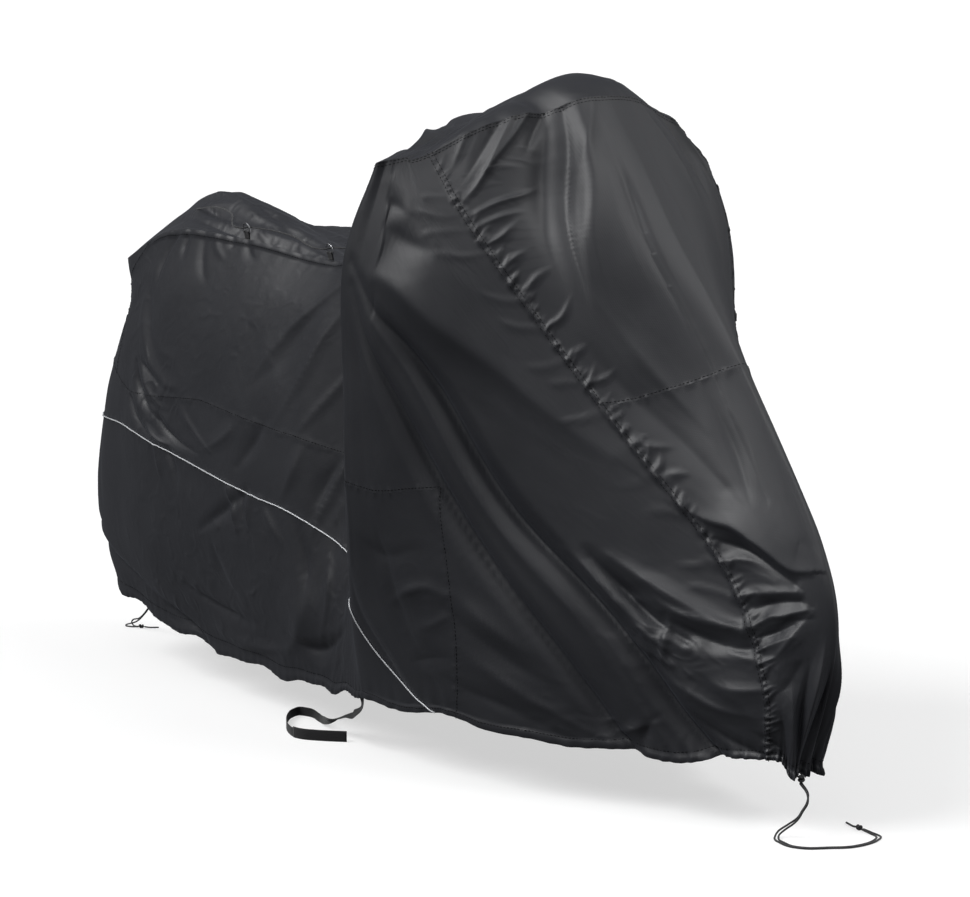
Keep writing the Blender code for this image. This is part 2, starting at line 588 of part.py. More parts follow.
# --------------------------------------------------- belly strap on the right hem
STRAP_WIDE, STRAP_THICK = 0.020, 0.0014
hem_key = side_key("R", 16, 0)
inner = points[hem_key] - normals[hem_key] * (CLOTH / 2 + 0.0016 + STRAP_THICK / 2)
hem_run = (points[side_key("R", 17, 0)] - points[side_key("R", 15, 0)]).normalized()
hem_rise = (points[side_key("R", 16, 1)] - points[hem_key]).normalized()
STRAP = [  # forwards, left, height of the middle line, then the width direction
    (-0.050, -0.251, 0.070, (0.90, -0.42, 0.10)),
    (-0.086, -0.238, 0.058, (0.80, -0.58, 0.12)),
    (-0.124, -0.230, 0.044, (0.77, -0.62, 0.15)),
    (-0.165, -0.222, 0.030, (0.70, -0.58, 0.42)),
    (-0.215, -0.206, 0.0165, (0.40, -0.33, 0.85)),
    (-0.255, -0.188, 0.0115, (0.05, -0.04, 1.0)), (-0.305, -0.176, 0.0107, (0, 0, 1)),
    (-0.328, -0.186, 0.0107, (0, 0, 1)), (-0.322, -0.210, 0.0107, (0, 0, 1)),
    (-0.297, -0.241, 0.0107, (0, 0, 1)), (-0.268, -0.266, 0.0107, (0, 0, 1)),
    (-0.225, -0.293, 0.0107, (0, 0, 1)), (-0.190, -0.304, 0.0107, (0, 0, 1)),
    (-0.168, -0.301, 0.0107, (0, 0, 1))]
route = [inner + hem_rise * 0.012, inner + hem_rise * 0.002, inner - hem_rise * 0.012]
turns = [hem_run, hem_run, hem_run * 0.9 + Vector((0.2, -0.3, 0.1))]
for x, y, z, turn in STRAP:
    route.append(from_floor(x, y, z))
    turns.append(Vector(turn))
lengths = [0.0]
for a, b in zip(route, route[1:]):
    lengths.append(lengths[-1] + (b - a).length)
path, widths = [], []
for x in np.linspace(0.0, lengths[-1], 60):
    path.append(Vector(hermite([tuple(p) for p in route], lengths, x)))
    widths.append(Vector(hermite([tuple(t.normalized()) for t in turns], lengths, x)))
for n, wide in enumerate(widths):
    ahead = path[min(n + 1, len(path) - 1)] - path[max(n - 1, 0)]
    ahead.normalize()
    widths[n] = (wide - ahead * wide.dot(ahead)).normalized() * STRAP_WIDE
ribbon("belly_strap", path, widths, STRAP_THICK, "webbing")

END_WIDE, END_THICK = 0.024, 0.0018
END = [(-0.190, -0.3062), (-0.180, -0.3060), (-0.160, -0.3010), (-0.140, -0.2890),
       (-0.112, -0.2680), (-0.084, -0.2440)]
path = [from_floor(x, y, 0.0126) for x, y in END]
ribbon("strap_end", path, [Vector((0, 0, END_WIDE))] * len(path), END_THICK, "webbing")

# ------------------------------------------------------------- front drawcord
STRAND_R = 0.0020
hem_front = side_key("R", 35, 0)
knot_front = points[hem_front] + normals[hem_front] * (CLOTH / 2 + 0.0083) + Vector((0, -0.006, -0.003))
KNOT_LONG = Vector((-0.15, 0.1, -1.0)).normalized()
knot("front_knot", knot_front, KNOT_LONG, Vector((1, 0, 0)), 0.018, 0.015, "cord")
knot_foot = knot_front + Vector(MOUNT) + KNOT_LONG * 0.0110
STRAND_A = [tuple(knot_foot + Vector((0, 0.0023, 0))), (1.044, -0.010, 0.0900), (1.050, -0.019, 0.0750),
            (1.043, -0.024, 0.0590), (1.030, -0.023, 0.0420), (1.012, -0.030, 0.0260),
            (0.999, -0.044, 0.0120), (1.005, -0.059, 0.0034), (1.030, -0.071, 0.0026),
            (1.060, -0.075, 0.0025), (1.088, -0.063, 0.0025), (1.117, -0.025, 0.0025),
            (1.139, 0.008, 0.0025), (1.146, 0.044, 0.0025), (1.141, 0.080, 0.0025),
            (1.129, 0.103, 0.0025), (1.100, 0.1105, 0.0025), (1.0765, 0.1105, 0.0045)]
STRAND_B = [tuple(knot_foot - Vector((0, 0.0023, 0))), (1.0470, -0.0150, 0.0900), (1.0545, -0.0220, 0.0750),
            (1.0480, -0.0280, 0.0590), (1.0370, -0.0270, 0.0430), (1.0230, -0.0270, 0.0290),
            (1.0105, -0.0370, 0.0165), (1.0075, -0.0495, 0.0080), (1.0180, -0.0600, 0.0030),
            (1.0360, -0.0650, 0.0026), (1.0600, -0.0690, 0.0025), (1.0855, -0.0580, 0.0025),
            (1.1130, -0.0220, 0.0025), (1.1340, 0.0100, 0.0025), (1.1405, 0.0440, 0.0025),
            (1.1355, 0.0770, 0.0025), (1.1230, 0.0970, 0.0025), (1.0990, 0.1045, 0.0025),
            (1.0765, 0.1060, 0.0048)]
for tag, rows in (("a", STRAND_A), ("b", STRAND_B)):
    path = curve_points([from_floor(*p) for p in rows], 0.009)
    cord("front_strand_" + tag, path, STRAND_R, "cord")
knot("front_end_knot", from_floor(1.0675, 0.1080, 0.0062), Vector((-1, 0.05, 0)),
     Vector((0, 0, 1)), 0.0175, 0.0115, "cord")
TAIL_CORD = [(1.0581, 0.1092, 0.0052), (1.048, 0.1125, 0.0035), (1.035, 0.118, 0.0025),
             (1.020, 0.123, 0.0025)]
cord("front_tail", curve_points([from_floor(*p) for p in TAIL_CORD], 0.006), STRAND_R, "cord")

# -------------------------------------------------------------- rear drawcord
REAR_R = 0.0018
hem_back = points[side_key("C", 0, 0)] + Vector(MOUNT)
REAR_A = [(hem_back.x, hem_back.y + 0.002, hem_back.z - 0.0012), (-1.135, 0.008, 0.130),
          (-1.165, 0.011, 0.094), (-1.200, 0.015, 0.064), (-1.234, 0.022, 0.040),
          (-1.2700, 0.0290, 0.0185), (-1.2990, 0.0320, 0.0065), (-1.3105, 0.0240, 0.0027),
          (-1.3020, 0.0140, 0.0021), (-1.2850, 0.0160, 0.0023), (-1.2648, 0.0250, 0.0044)]
REAR_B = [(hem_back.x, hem_back.y - 0.002, hem_back.z - 0.0012), (-1.135, 0.003, 0.130),
          (-1.165, 0.004, 0.092), (-1.198, 0.006, 0.060),
          (-1.2300, 0.0120, 0.0380), (-1.2500, 0.0165, 0.0285), (-1.2690, 0.0205, 0.0235),
          (-1.2840, 0.0228, 0.0180), (-1.2912, 0.0242, 0.0108), (-1.2872, 0.0256, 0.0045),
          (-1.2775, 0.0270, 0.0023), (-1.2672, 0.0284, 0.0040)]
for tag, rows in (("a", REAR_A), ("b", REAR_B)):
    path = curve_points([from_floor(*p) for p in rows], 0.008)
    cord("rear_strand_" + tag, path, REAR_R, "cord")
knot("rear_end_knot", from_floor(-1.2585, 0.0310, 0.0056), Vector((1, 0.5, 0)),
     Vector((0, 0, 1)), 0.0160, 0.0105, "cord")
REAR_TAIL = [(-1.2503, 0.0353, 0.0050), (-1.245, 0.045, 0.0030), (-1.240, 0.055, 0.0022),
             (-1.234, 0.064, 0.0021)]
cord("rear_tail", curve_points([from_floor(*p) for p in REAR_TAIL], 0.006), REAR_R, "cord")
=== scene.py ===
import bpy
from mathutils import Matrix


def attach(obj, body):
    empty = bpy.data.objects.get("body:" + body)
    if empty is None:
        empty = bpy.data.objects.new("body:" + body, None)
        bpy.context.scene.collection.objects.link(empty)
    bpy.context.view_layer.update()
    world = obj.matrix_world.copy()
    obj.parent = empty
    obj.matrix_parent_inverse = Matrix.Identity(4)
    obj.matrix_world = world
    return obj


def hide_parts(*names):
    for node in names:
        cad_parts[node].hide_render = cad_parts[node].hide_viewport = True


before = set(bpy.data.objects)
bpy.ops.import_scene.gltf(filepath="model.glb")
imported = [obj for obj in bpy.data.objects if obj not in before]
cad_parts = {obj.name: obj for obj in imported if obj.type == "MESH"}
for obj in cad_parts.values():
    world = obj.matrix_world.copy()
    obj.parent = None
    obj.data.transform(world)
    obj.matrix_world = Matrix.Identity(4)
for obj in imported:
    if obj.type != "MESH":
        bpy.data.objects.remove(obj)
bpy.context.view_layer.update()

# Fitted cloth cover for a large touring motorcycle.  X points forwards, Y to the
# machine's left and Z up, in metres, from the mount under the cover's top.  The
# sections follow the work: cut panels, seams, piping, rings, lacing and cords.
import math

import bmesh
import bpy
import numpy as np
from mathutils import Vector

# ------------------------------------------------------------------- the view
# A long lens well off the machine's right front corner, a little above its top,
# so that the right side and the nose are both seen with little perspective.
def put(name, data):
    """A new object of this data, in the scene."""
    made = bpy.data.objects.new(name, data)
    bpy.context.scene.collection.objects.link(made)
    return made


view_data = bpy.data.cameras.new("view")
view_data.sensor_width = 36.0
view_data.lens = 118.76
view_data.clip_end = 300.0
view = put("view", view_data)
view.location = (4.835, -4.3516, 0.3565)
view.rotation_euler = (math.radians(90 - 9.79), 0.0, math.radians(49.73))
bpy.context.scene.camera = view

# --------------------------------------------------------- the cut cloth panels
# Eleven panels of woven polyester, coated inside, cut flat and sewn into a hood that
# hangs from the screen, the bar ends and the seat.  The ribs below are the drape
# of the sewn hood; the folds are where the loose cloth gathers between them.
LEAN = math.radians(2.95)
MOUNT = np.array([0.3, 0.071, 1.4142])
SHEET = 0.0006            # woven cloth with its coating
RIBS = [
    # name, at, then hem, low, middle, high, upper and rim: each forwards, outwards, height in cm
    ("back", 0, (-112, 0, 17), (-119, 0, 33), (-119, 0, 53), (-115, 0, 70), (-110, 0, 86),
     (-104, 0, 104)),
    ("back_corner", 0.17, (-108, 15, 16), (-116, 16, 32), (-115, 16.5, 53), (-110, 16.5, 70),
     (-104.5, 16, 84.5), (-107, 16, 93.5)),
    ("tail_side", 0.38, (-90, 19, 12.5), (-95, 23, 30), (-95, 24.5, 50), (-93, 24.5, 68),
     (-90, 23.5, 86), (-86, 20.5, 101)),
    ("seat_side", 0.74, (-58, 21.5, 9), (-60, 27, 28), (-60, 29, 48), (-59, 28.5, 69), (-56, 26, 88),
     (-53, 21.5, 102)),
    ("knee", 1.1, (-24, 25, 9), (-24, 29, 27), (-24, 30, 47), (-23, 29, 69), (-21, 26.5, 88),
     (-17, 22, 100.5)),
    ("recess", 1.36, (-8, 26.5, 10), (-5, 29, 28), (-2, 27.5, 49), (0, 26.5, 71), (1, 27, 90),
     (2, 30, 109)),
    ("behind_bar", 1.5, (0, 28, 10.5), (3.5, 33.5, 29), (8, 39, 53), (10, 42, 79), (10.5, 43.5, 102),
     (15, 40.5, 122)),
    ("bar_end", 1.53, (2, 28.5, 11), (5.5, 35.5, 30), (10, 41.5, 53), (12, 44, 79), (12.5, 45.5, 103),
     (17.5, 42.5, 123)),
    ("bar_front", 1.6, (14, 29.5, 11.5), (16.5, 35.5, 30), (17.5, 41, 53), (17.5, 44, 78),
     (17.5, 45, 102), (19.5, 41.3, 123.8)),
    ("engine", 1.78, (40, 27.5, 12), (37.5, 32.5, 33), (33, 36, 57), (28, 40, 82), (23, 43, 105),
     (20.8, 40.2, 124.2)),
    ("wheel_side", 2.02, (70, 15.5, 11), (67, 20.5, 33), (55, 26.5, 56), (42, 33, 82), (30, 39.5, 107),
     (22.1, 38.7, 124.6)),
    ("princess", 2.25, (98, 6.5, 14.5), (98, 8.5, 30), (86.5, 10, 51.5), (61, 19.5, 79), (37, 32, 110),
     (25, 35, 125.5)),
    ("fairing", 2.4, (102, 3.5, 12.5), (104.5, 4.5, 34), (97, 6, 55), (71.5, 9.5, 83), (49, 18.5, 114),
     (33.5, 21, 133.5)),
    ("front", 2.52, (102, 0, 11.5), (108, 0, 36), (102, 0, 57.5), (80, 0, 88), (60, 0, 113.5),
     (40.5, 0, 138)),
]
FRONT = 2.52
STRIP = [
    # at, half way in from the rim, middle of the strip
    (0.17, (-1.06, 0.085, 1.01), (-1.04, 1.04)),
    (0.38, (-0.88, 0.11, 1.04), (-0.91, 1.095)),
    (0.74, (-0.54, 0.11, 1.0), (-0.55, 1.015)),
    (1.1, (-0.22, 0.11, 0.985), (-0.3, 0.98)),
    (1.36, (-0.08, 0.15, 1.08), (-0.17, 1.1)),
    (1.53, (0.03, 0.2, 1.252), (-0.06, 1.284)),
    (1.78, (0.12, 0.2, 1.29), (0.06, 1.332)),
    (2.02, (0.17, 0.2, 1.3), (0.14, 1.372)),
    (2.25, (0.22, 0.2, 1.318), (0.23, 1.398)),
]
FAR_BAR = np.array([0.12, -0.03, -0.05])
CAP_RISE = 0.03
LEVELS = np.array([0.0, 0.2, 0.4, 0.6, 0.8, 1.0])
MIRROR = np.array([1.0, -1.0, 1.0])
rib_rows = [np.array(rib[2:]) / 100 for rib in RIBS]
rib_rows = np.array([rib_rows[1] * MIRROR] + rib_rows + [rib_rows[-2] * MIRROR])
rib_at = [rib[1] for rib in RIBS]
rib_at = np.array([-rib_at[1]] + rib_at + [2 * FRONT - rib_at[-2]])


def smooth(x):
    """Soft step from 0 to 1."""
    x = np.clip(x, 0.0, 1.0)
    return x * x * (3 - 2 * x)


def through(rows, stops, x):
    """Smooth curve through rows at stops, read at every x; rows are (stop, 1 or x, axis)."""
    rows = np.asarray(rows, float)
    stops = np.asarray(stops, float)
    x = np.atleast_1d(np.asarray(x, float))
    if rows.ndim == 2:
        rows = rows[:, None, :]
    step = np.diff(stops)
    slope = np.diff(rows, axis=0) / step[:, None, None]
    tangent = np.empty_like(rows)
    tangent[0], tangent[-1] = slope[0], slope[-1]
    tangent[1:-1] = slope[:-1] * step[1:, None, None] + slope[1:] * step[:-1, None, None]
    tangent[1:-1] /= (step[:-1] + step[1:])[:, None, None]
    i = np.clip(np.searchsorted(stops, x, side="right") - 1, 0, len(step) - 1)
    n = np.arange(len(x)) if rows.shape[1] > 1 else np.zeros(len(x), int)
    h = step[i][:, None]
    u = ((x - stops[i]) / step[i])[:, None]
    return ((1 + 2 * u) * (1 - u) ** 2 * rows[i, n] + u * (1 - u) ** 2 * h * tangent[i, n]
            + u * u * (3 - 2 * u) * rows[i + 1, n] + u * u * (u - 1) * h * tangent[i + 1, n])


def drape(s, t, far=False):
    """Upright places (forwards, outwards, height) of the smooth drape on one side."""
    s = np.atleast_1d(np.asarray(s, float))
    t = np.broadcast_to(np.asarray(t, float), s.shape)
    levels = np.array([through(rib_rows[:, k], rib_at, s) for k in range(len(LEVELS))])
    places = through(levels, LEVELS, t) if len(s) > 1 else through(levels[:, 0], LEVELS, t)
    if far:
        near_bar = smooth((s - 1.05) / 0.45) * (1 - smooth((s - 2.25) / 0.27))
        places = places + FAR_BAR * (near_bar * smooth((t - 0.55) / 0.45))[:, None]
    return places


def strip(s, u):
    """Upright places (forwards, left, height) on the top strip; u -1 is the right edge."""
    s = np.atleast_1d(np.asarray(s, float))
    u = np.broadcast_to(np.asarray(u, float), s.shape)
    edge, far = drape(s, 1.0), drape(s, 1.0, True)
    half = through([row[1] for row in STRIP], [row[0] for row in STRIP], s)
    top = through([(row[2][0], 0.0, row[2][1]) for row in STRIP], [row[0] for row in STRIP], s)
    rows = np.array([edge * MIRROR, half * MIRROR, top, half + (far - edge) / 2, far])
    return through(rows, [-1.0, -0.5, 0.0, 0.5, 1.0], u)


def tilted(ways):
    """Upright directions (forwards, left, up) turned by the lean."""
    c, n = math.cos(LEAN), math.sin(LEAN)
    x, y, z = np.moveaxis(np.asarray(ways, float), -1, 0)
    return np.stack([x, y * c + z * n, z * c - y * n], axis=-1)


def leaned(places):
    """From upright (forwards, left, height) to the leaned places from the mount."""
    return tilted(places) - MOUNT


def run_along(line):
    """Length of the way along a line of points, at each of them."""
    return np.concatenate([[0.0], np.cumsum(np.linalg.norm(np.diff(line, axis=0), axis=1))])


# Columns and rows of the cutting layout; the named ones run along seams.
COLUMNS = [0.0, 0.1, 0.2, 0.32, 0.44, 0.56, 0.65, 0.74, 0.84, 0.94, 1.03, 1.12, 1.22,
           1.31, 1.39, 1.46, 1.505, 1.53, 1.56, 1.59, 1.62, 1.65, 1.685, 1.78, 1.84,
           1.9, 1.96, 2.02, 2.08, 2.14, 2.2, 2.25, 2.31, 2.37, 2.43, 2.48, 2.52]
TAIL, BAR, BAND, CAP, PRIN = 2, 17, 23, 31, 31
LAST = len(COLUMNS) - 1
LOW, MID, TOP = 5, 10, 20
ACROSS = 10
TAIL_SEAM = [  # part of the way up from the level seam to the rim, shift
    (0.0, 0.08), (0.25, 0.06), (0.5, -0.01), (0.75, 0.02), (1.0, 0.12)]
BAND_SEAM = [  # part of the way up from the hem to the level seam, shift
    (0.0, -0.06), (0.5, -0.025), (1.0, 0.0)]
LEVEL_SEAM = [  # at, part of the way up the rib
    (0.0, 0.61), (0.17, 0.61), (0.38, 0.555), (0.74, 0.57), (1.1, 0.54), (1.36, 0.5),
    (1.53, 0.445), (1.78, 0.42), (2.02, 0.52), (2.25, 0.6), (2.52, 0.6)]
PIPING_LINE = [  # at, part of the way up the rib
    (0.0, 0.44), (0.17, 0.43), (0.38, 0.47), (0.74, 0.435), (1.1, 0.4), (1.36, 0.31),
    (1.53, 0.22), (1.59, 0.17), (1.65, 0.14), (1.8, 0.17), (2.25, 0.28), (2.52, 0.28)]


def table(rows, x):
    """Straight-line reading of a two-column table."""
    return np.interp(x, [row[0] for row in rows], [row[1] for row in rows])


def place_on_rib(i, j):
    """Where columns i and rows j of the layout fall, parts of one included: (at, up)."""
    i, j = np.broadcast_arrays(np.asarray(i, float), np.asarray(j, float))
    up = np.maximum(j - MID, 0) / (TOP - MID)
    low = np.minimum(j / MID, 1.0)
    s = np.interp(i, np.arange(LAST + 1), COLUMNS)
    s = s + table(TAIL_SEAM, up) * (j >= MID) * np.interp(
        i, [TAIL - 1, TAIL, TAIL + 1, TAIL + 2], [0.0, 1.0, 0.4, 0.0])
    s = s + table(BAND_SEAM, low) * np.interp(
        i, [BAND - 1, BAND, BAND + 1, BAND + 2], [0.0, 1.0, 0.4, 0.0])
    piping, level = table(PIPING_LINE, s), table(LEVEL_SEAM, s)
    t = np.where(j <= LOW, piping * j / LOW,
                 np.where(j <= MID, piping + (level - piping) * (j - LOW) / (MID - LOW),
                          level + (1 - level) * up))
    return s, t


# Folds of the hung cloth, drawn from the top down or from the rear forwards.
# fore is the half width ahead of the line (above it where it runs forwards), aft
# behind it (below); start and end are its sizes there against 1.
FOLDS = [
    # name, sides, fore, aft, height (all mm), start, end, then each route: at, up, ... (hundredths)
    # the fan that runs down from the mirror to the front of the hem
    ("fan_main", "RL", 15, 10, -34, .1, .9, (156, 81, 168, 72.5, 177, 65.5, 184, 58, 190.5, 49, 196,
     39, 200.5, 30, 205, 20, 210, 9, 215, 0)),
    ("fan_main_crest", "RL", 6, 8, 6, 0, .5, (161, 75.5, 170, 68, 177.5, 60, 183.5, 52, 189, 43, 194,
     33, 197.5, 26, 201.5, 17, 205.5, 8, 210, 0)),
    ("fan_second", "RL", 13, 10, -27, .1, .8, (157, 77, 163, 68, 168.5, 60, 174.5, 51, 180, 42, 185,
     33, 189, 25, 193, 17, 198, 8, 202, 0)),
    ("fan_second_crest", "R", 5, 14, 4, 0, 0, (160, 66, 166, 57, 172, 47, 177, 38, 182, 28, 186, 20)),
    ("fan_third", "R", 8, 14, -3, 0, 0, (156, 74, 160, 62, 164, 50, 168, 38)),
    ("fan_inner", "R", 10, 7, -5, 0, .3, (190, 53, 195, 46, 200, 38, 204, 31)),
    ("shin_ridge", "RL", 60, 40, 24, .1, .2, (160, 80, 172, 77.5, 184, 73.5, 194, 69, 204, 64, 213, 58,
     219, 53)),
    ("tank_trough", "R", 22, 34, -10, 0, .1, (168, 87, 180, 85, 192, 82, 202, 80, 210, 79)),
    ("mirror_hollow", "R", 12, 20, -8, 0, .1, (166, 92.5, 178, 91.5, 190, 89.5, 200, 87.5)),
    ("mirror_crest", "RL", 20, 16, 5, .3, 0, (155, 96, 166, 96.5, 178, 95.5, 190, 93.5)),
    ("under_mirror_one", "R", 3.5, 6, 2.2, 0, .4, (195, 87.5, 204, 88, 213, 86.5, 220, 84.5, 225, 84)),
    ("under_mirror", "R", 3.5, 6, 2.2, 0, .5, (198, 82, 206, 82.5, 215, 82, 225, 81), (202, 78.5, 210,
     78.5, 218, 77.5, 225, 77.5)),
    ("under_mirror_four", "R", 3.5, 6, 2.2, 0, .6, (210, 90, 217, 90.5, 225, 88.5)),
    ("seam_line", "R", 3.5, 6, 2.2, 0, .8, (214, 73.5, 220, 72.2, 225, 72), (215, 70, 219, 69.2, 225,
     69), (213, 64, 219, 64.5, 225, 65.5), (216, 62, 221, 62.8, 225, 63), (212, 56, 219, 58, 225,
     59.5), (214, 48, 220, 50, 225, 52), (216, 45, 221, 46.7, 225, 46.2), (217, 38.5, 221, 39.2, 225,
     41), (216, 34.5, 220, 35.5, 225, 34.5)),
    ("mirror_edge", "RL", 6, 10, 5, .3, .3, (153, 93, 153.5, 80, 154, 64, 154.5, 48, 155, 30)),
    # wrinkles between the fan and the long front seam
    ("pocket_ridge", "R", 6, 12, 10, .3, .5, (202.5, 35.5, 204.5, 32.5, 206, 29, 209, 25)),
    ("pocket_hollow", "R", 16, 7, -20, .3, .6, (205.5, 35, 207.5, 31, 210, 27, 213.5, 24.5)),
    ("pocket_edge", "R", 6, 6, 10, .5, .5, (212.5, 27.5, 211, 24, 209.5, 20)),
    ("pocket_zig", "R", 6, 5, 8, .3, .5, (206, 27, 208.5, 23.5, 211, 22)),
    ("pocket_zag", "R", 6, 6, 7, .2, .6, (204, 23.5, 207, 20.5, 210.5, 19)),
    ("pocket_low", "R", 6, 9, -10, .4, .3, (206.5, 22.5, 209, 18.5, 212, 15)),
    ("pocket_foot", "R", 8, 14, 9, .3, .2, (209, 18.5, 211.5, 15.5, 216, 13, 222, 12.5)),
    ("knee_ridge", "R", 10, 18, 12, .2, .5, (209, 36.5, 213, 34, 218, 31, 223.5, 29)),
    ("knee_low", "R", 6, 10, 8, .2, .8, (212, 31, 215, 29.8, 220, 29.5, 225, 30)),
    ("under_knee", "R", 12, 7, -12, .4, .6, (212, 27.5, 216, 26.2, 220, 25.5, 225, 26.2)),
    ("toe_fold", "R", 6, 10, 7, .1, .8, (217, 26.2, 221, 25, 225, 24)),
    ("toe_fold_low", "R", 6, 10, 6, .1, .8, (216, 18, 221, 18.2, 225, 19)),
    ("toe_sheen", "R", 30, 20, 8, 0, .3, (214, 20, 219, 16, 223.5, 9)),
    ("toe_trough", "R", 8, 12, -8, 0, .6, (210, 12, 214, 8, 219, 4, 224, 1)),
    ("toe_hem", "R", 6, 8, 6, .2, .4, (199, 2.5, 203, 5, 207, 7)),
    ("toe_hem_two", "R", 6, 8, -7, .5, .2, (204, 1, 205, 5, 207.5, 8.5)),
    # the low panel between the bar and the wheel
    ("shin_one", "R", 14, 20, 9, 0, 0, (176, 27, 181, 22, 186, 18, 191, 14)),
    ("shin_one_low", "R", 10, 16, -8, .2, 0, (175, 23, 180, 18.5, 186, 13.5, 192, 10)),
    ("shin_two", "R", 14, 20, 8, 0, .4, (174, 18, 180, 12, 186, 8, 193, 4.5, 201, 1)),
    ("shin_three", "R", 10, 14, -6, 0, .4, (170, 10, 176, 6.5, 183, 4.5, 192, 1.2)),
    ("band_one", "R", 10, 14, 6, 0, .5, (161, 23.5, 166, 26.2, 171, 26.8, 175.5, 25)),
    ("band_two", "R", 8, 10, 4, 0, .6, (166, 18.5, 171, 19.5, 175, 21)),
    ("band_three", "R", 8, 12, -4, 0, .6, (164, 11, 169, 12.5, 173, 13)),
    ("band_slope", "R", 10, 18, -5, 0, .3, (156, 36, 162, 33, 170, 33.5)),
    ("band_fall", "R", 14, 18, -6, 0, .2, (160, 42, 163, 30, 166, 17, 170, 5)),
    ("bar_fall", "RL", 10, 12, -6, 0, .4, (154.5, 30, 156, 20, 160, 10, 164, 2)),
    # the nose, down to the drawcord
    ("nose_top", "R", 30, 7, 14, .3, .3, (225, 47, 229, 45.2, 233, 43.8, 237, 40.5, 242, 37.2, 247,
     36.2)),
    ("nose_under", "R", 8, 12, -12, .2, .4, (225, 43.5, 230, 42, 236, 39.2, 242, 35.2)),
    ("nose_one", "R", 6, 9, 8, .8, 0, (225, 40, 229, 40.2, 233, 39.5, 238, 37.2)),
    ("nose_two", "R", 6, 8, 9, .8, .4, (225, 35, 230, 35.2, 235, 34.5, 242, 33.8)),
    ("nose_two_gap", "R", 7, 7, -10, .3, .5, (227, 33, 233, 33.2, 242, 32)),
    ("nose_three", "R", 6, 8, 9, .8, .5, (225, 30, 231, 31.2, 236, 30.5, 243, 30.2)),
    ("nose_three_gap", "R", 6, 8, -8, .4, .3, (225, 28.3, 231, 28.5, 238, 28.2)),
    ("nose_four", "R", 6, 9, 6, .8, .1, (225, 26.2, 231, 26.8, 237, 26.2)),
    ("seam_fold", "R", 4, 7, 4.5, .8, 0, (226, 55.2, 229, 54.5, 233, 54.2), (226, 51.2, 229, 51.2, 232,
     50.8)),
    ("nose_line", "RL", 6, 12, -5, 0, 0, (230, 29.5, 238, 29, 247, 28)),
    ("nose_slant", "R", 10, 18, 7, .3, 0, (225, 23.5, 232, 25, 240, 27.5, 248, 31)),
    ("nose_slant_low", "RL", 10, 18, -6, .2, 0, (226, 17, 234, 19, 242, 22)),
    ("cinch_one", "RL", 6, 9, 12, 0, 1, (248, 25, 245.5, 17, 243, 10, 242, 0)),
    ("cinch_two", "RL", 7, 6, -14, 0, 1, (242, 22, 240, 13, 240.5, 5, 241, 0)),
    ("cinch_three", "RL", 6, 9, 10, 0, 1, (233, 20, 234.5, 12, 237.5, 5, 239, 0)),
    ("cinch_four", "RL", 6, 8, -9, 0, 1, (228, 15, 231, 7, 234.5, 0)),
    ("cinch_five", "RL", 8, 6, -12, 0, 1, (252, 26, 250, 14, 247, 6, 246, 0)),
    ("cinch_six", "RL", 6, 8, -6, 0, 1, (220, 9, 227, 4.5, 233, 1)),
    # the screen panel
    ("screen_hollow", "R", 34, 52, -36, .6, 0, (244, 100, 241.5, 92, 238.5, 84, 234.5, 76, 231, 67)),
    ("screen_hollow_edge", "R", 11, 28, -20, .4, 0, (245.6, 99, 243.8, 91, 241, 83, 237.2, 75, 234, 68)),
    ("screen_hollow_rim", "R", 26, 14, 9, .5, 0, (247.2, 100, 245.8, 92, 243.6, 84, 240.5, 76, 237, 66)),
    ("bow_trough", "R", 6, 14, -7, 0, .1, (248.5, 99, 248.2, 92, 247.7, 84, 247, 76, 246.4, 68, 245.7,
     58, 244, 46)),
    ("bow_line", "RL", 5, 6, 3, .2, .2, (250.5, 98.5, 250.8, 90, 251, 82, 251.2, 72, 251.5, 62, 251,
     48)),
    ("far_ridge_one", "RL", 8, 12, 5, .5, 0, (249, 100, 247, 95, 244, 88, 242, 80)),
    ("far_ridge_two", "L", 10, 12, -8, .5, 0, (246, 100, 242, 96, 240, 90, 238, 82)),
    ("screen_side", "RL", 22, 20, -8, 0, 0, (230, 70, 232, 60, 236, 50, 240, 42)),
    ("screen_side_ridge", "R", 18, 14, 7, 0, 0, (236, 72, 238, 62, 241, 53)),
    ("screen_low", "R", 12, 12, -6, 0, 0, (244, 60, 243, 52, 240, 45)),
    ("gather_one", "RL", 6, 8, -6, 1, .2, (238, 100, 234, 96.5, 229, 91.5)),
    ("gather_two", "RL", 6, 8, 6, 1, .3, (242, 100, 238.5, 96.5, 234, 92.5, 229, 87.5)),
    ("gather_three", "R", 6, 8, -6, 1, 0, (244, 100, 241.5, 96.5, 238.5, 91.5)),
    ("gather_four", "RL", 6, 8, 4, 1, 0, (232, 100, 229.5, 97.5, 226.5, 94)),
    ("gather_five", "R", 5, 7, 5, 1, .6, (240, 100, 236, 95.5, 231, 89.5, 227, 86.5)),
    ("screen_pucker_one", "R", 4, 7, 5, .8, 0, (226, 83.2, 231, 84.3, 236, 85.2, 240, 87.5)),
    ("screen_pucker_two", "R", 4, 7, 4.5, .8, 0, (226, 81.2, 231, 82, 236, 82.5)),
    ("screen_pucker", "R", 4, 7, 5, .8, 0, (226, 78.5, 230, 79.5, 235, 82), (226, 75.5, 229, 76.5, 233,
     77.5)),
    ("screen_pucker_five", "R", 4, 6, 5, .8, 0, (226, 72.5, 230, 74, 235, 75.2)),
    ("screen_pucker_b", "R", 4, 6, 4.5, .8, 0, (226, 69, 230, 69.8, 234, 71.8), (226, 65.5, 229, 66.2,
     232, 66.8), (226, 62.8, 230, 63, 234, 64)),
    # the rear side, from the seat down
    ("lip_one", "RL", 6, 10, -8, 1, 0, (45, 100, 42.5, 94, 43, 86, 46, 80)),
    ("lip_two", "RL", 5, 7, -8, 1, 0, (50, 100, 50.5, 95, 53, 90)),
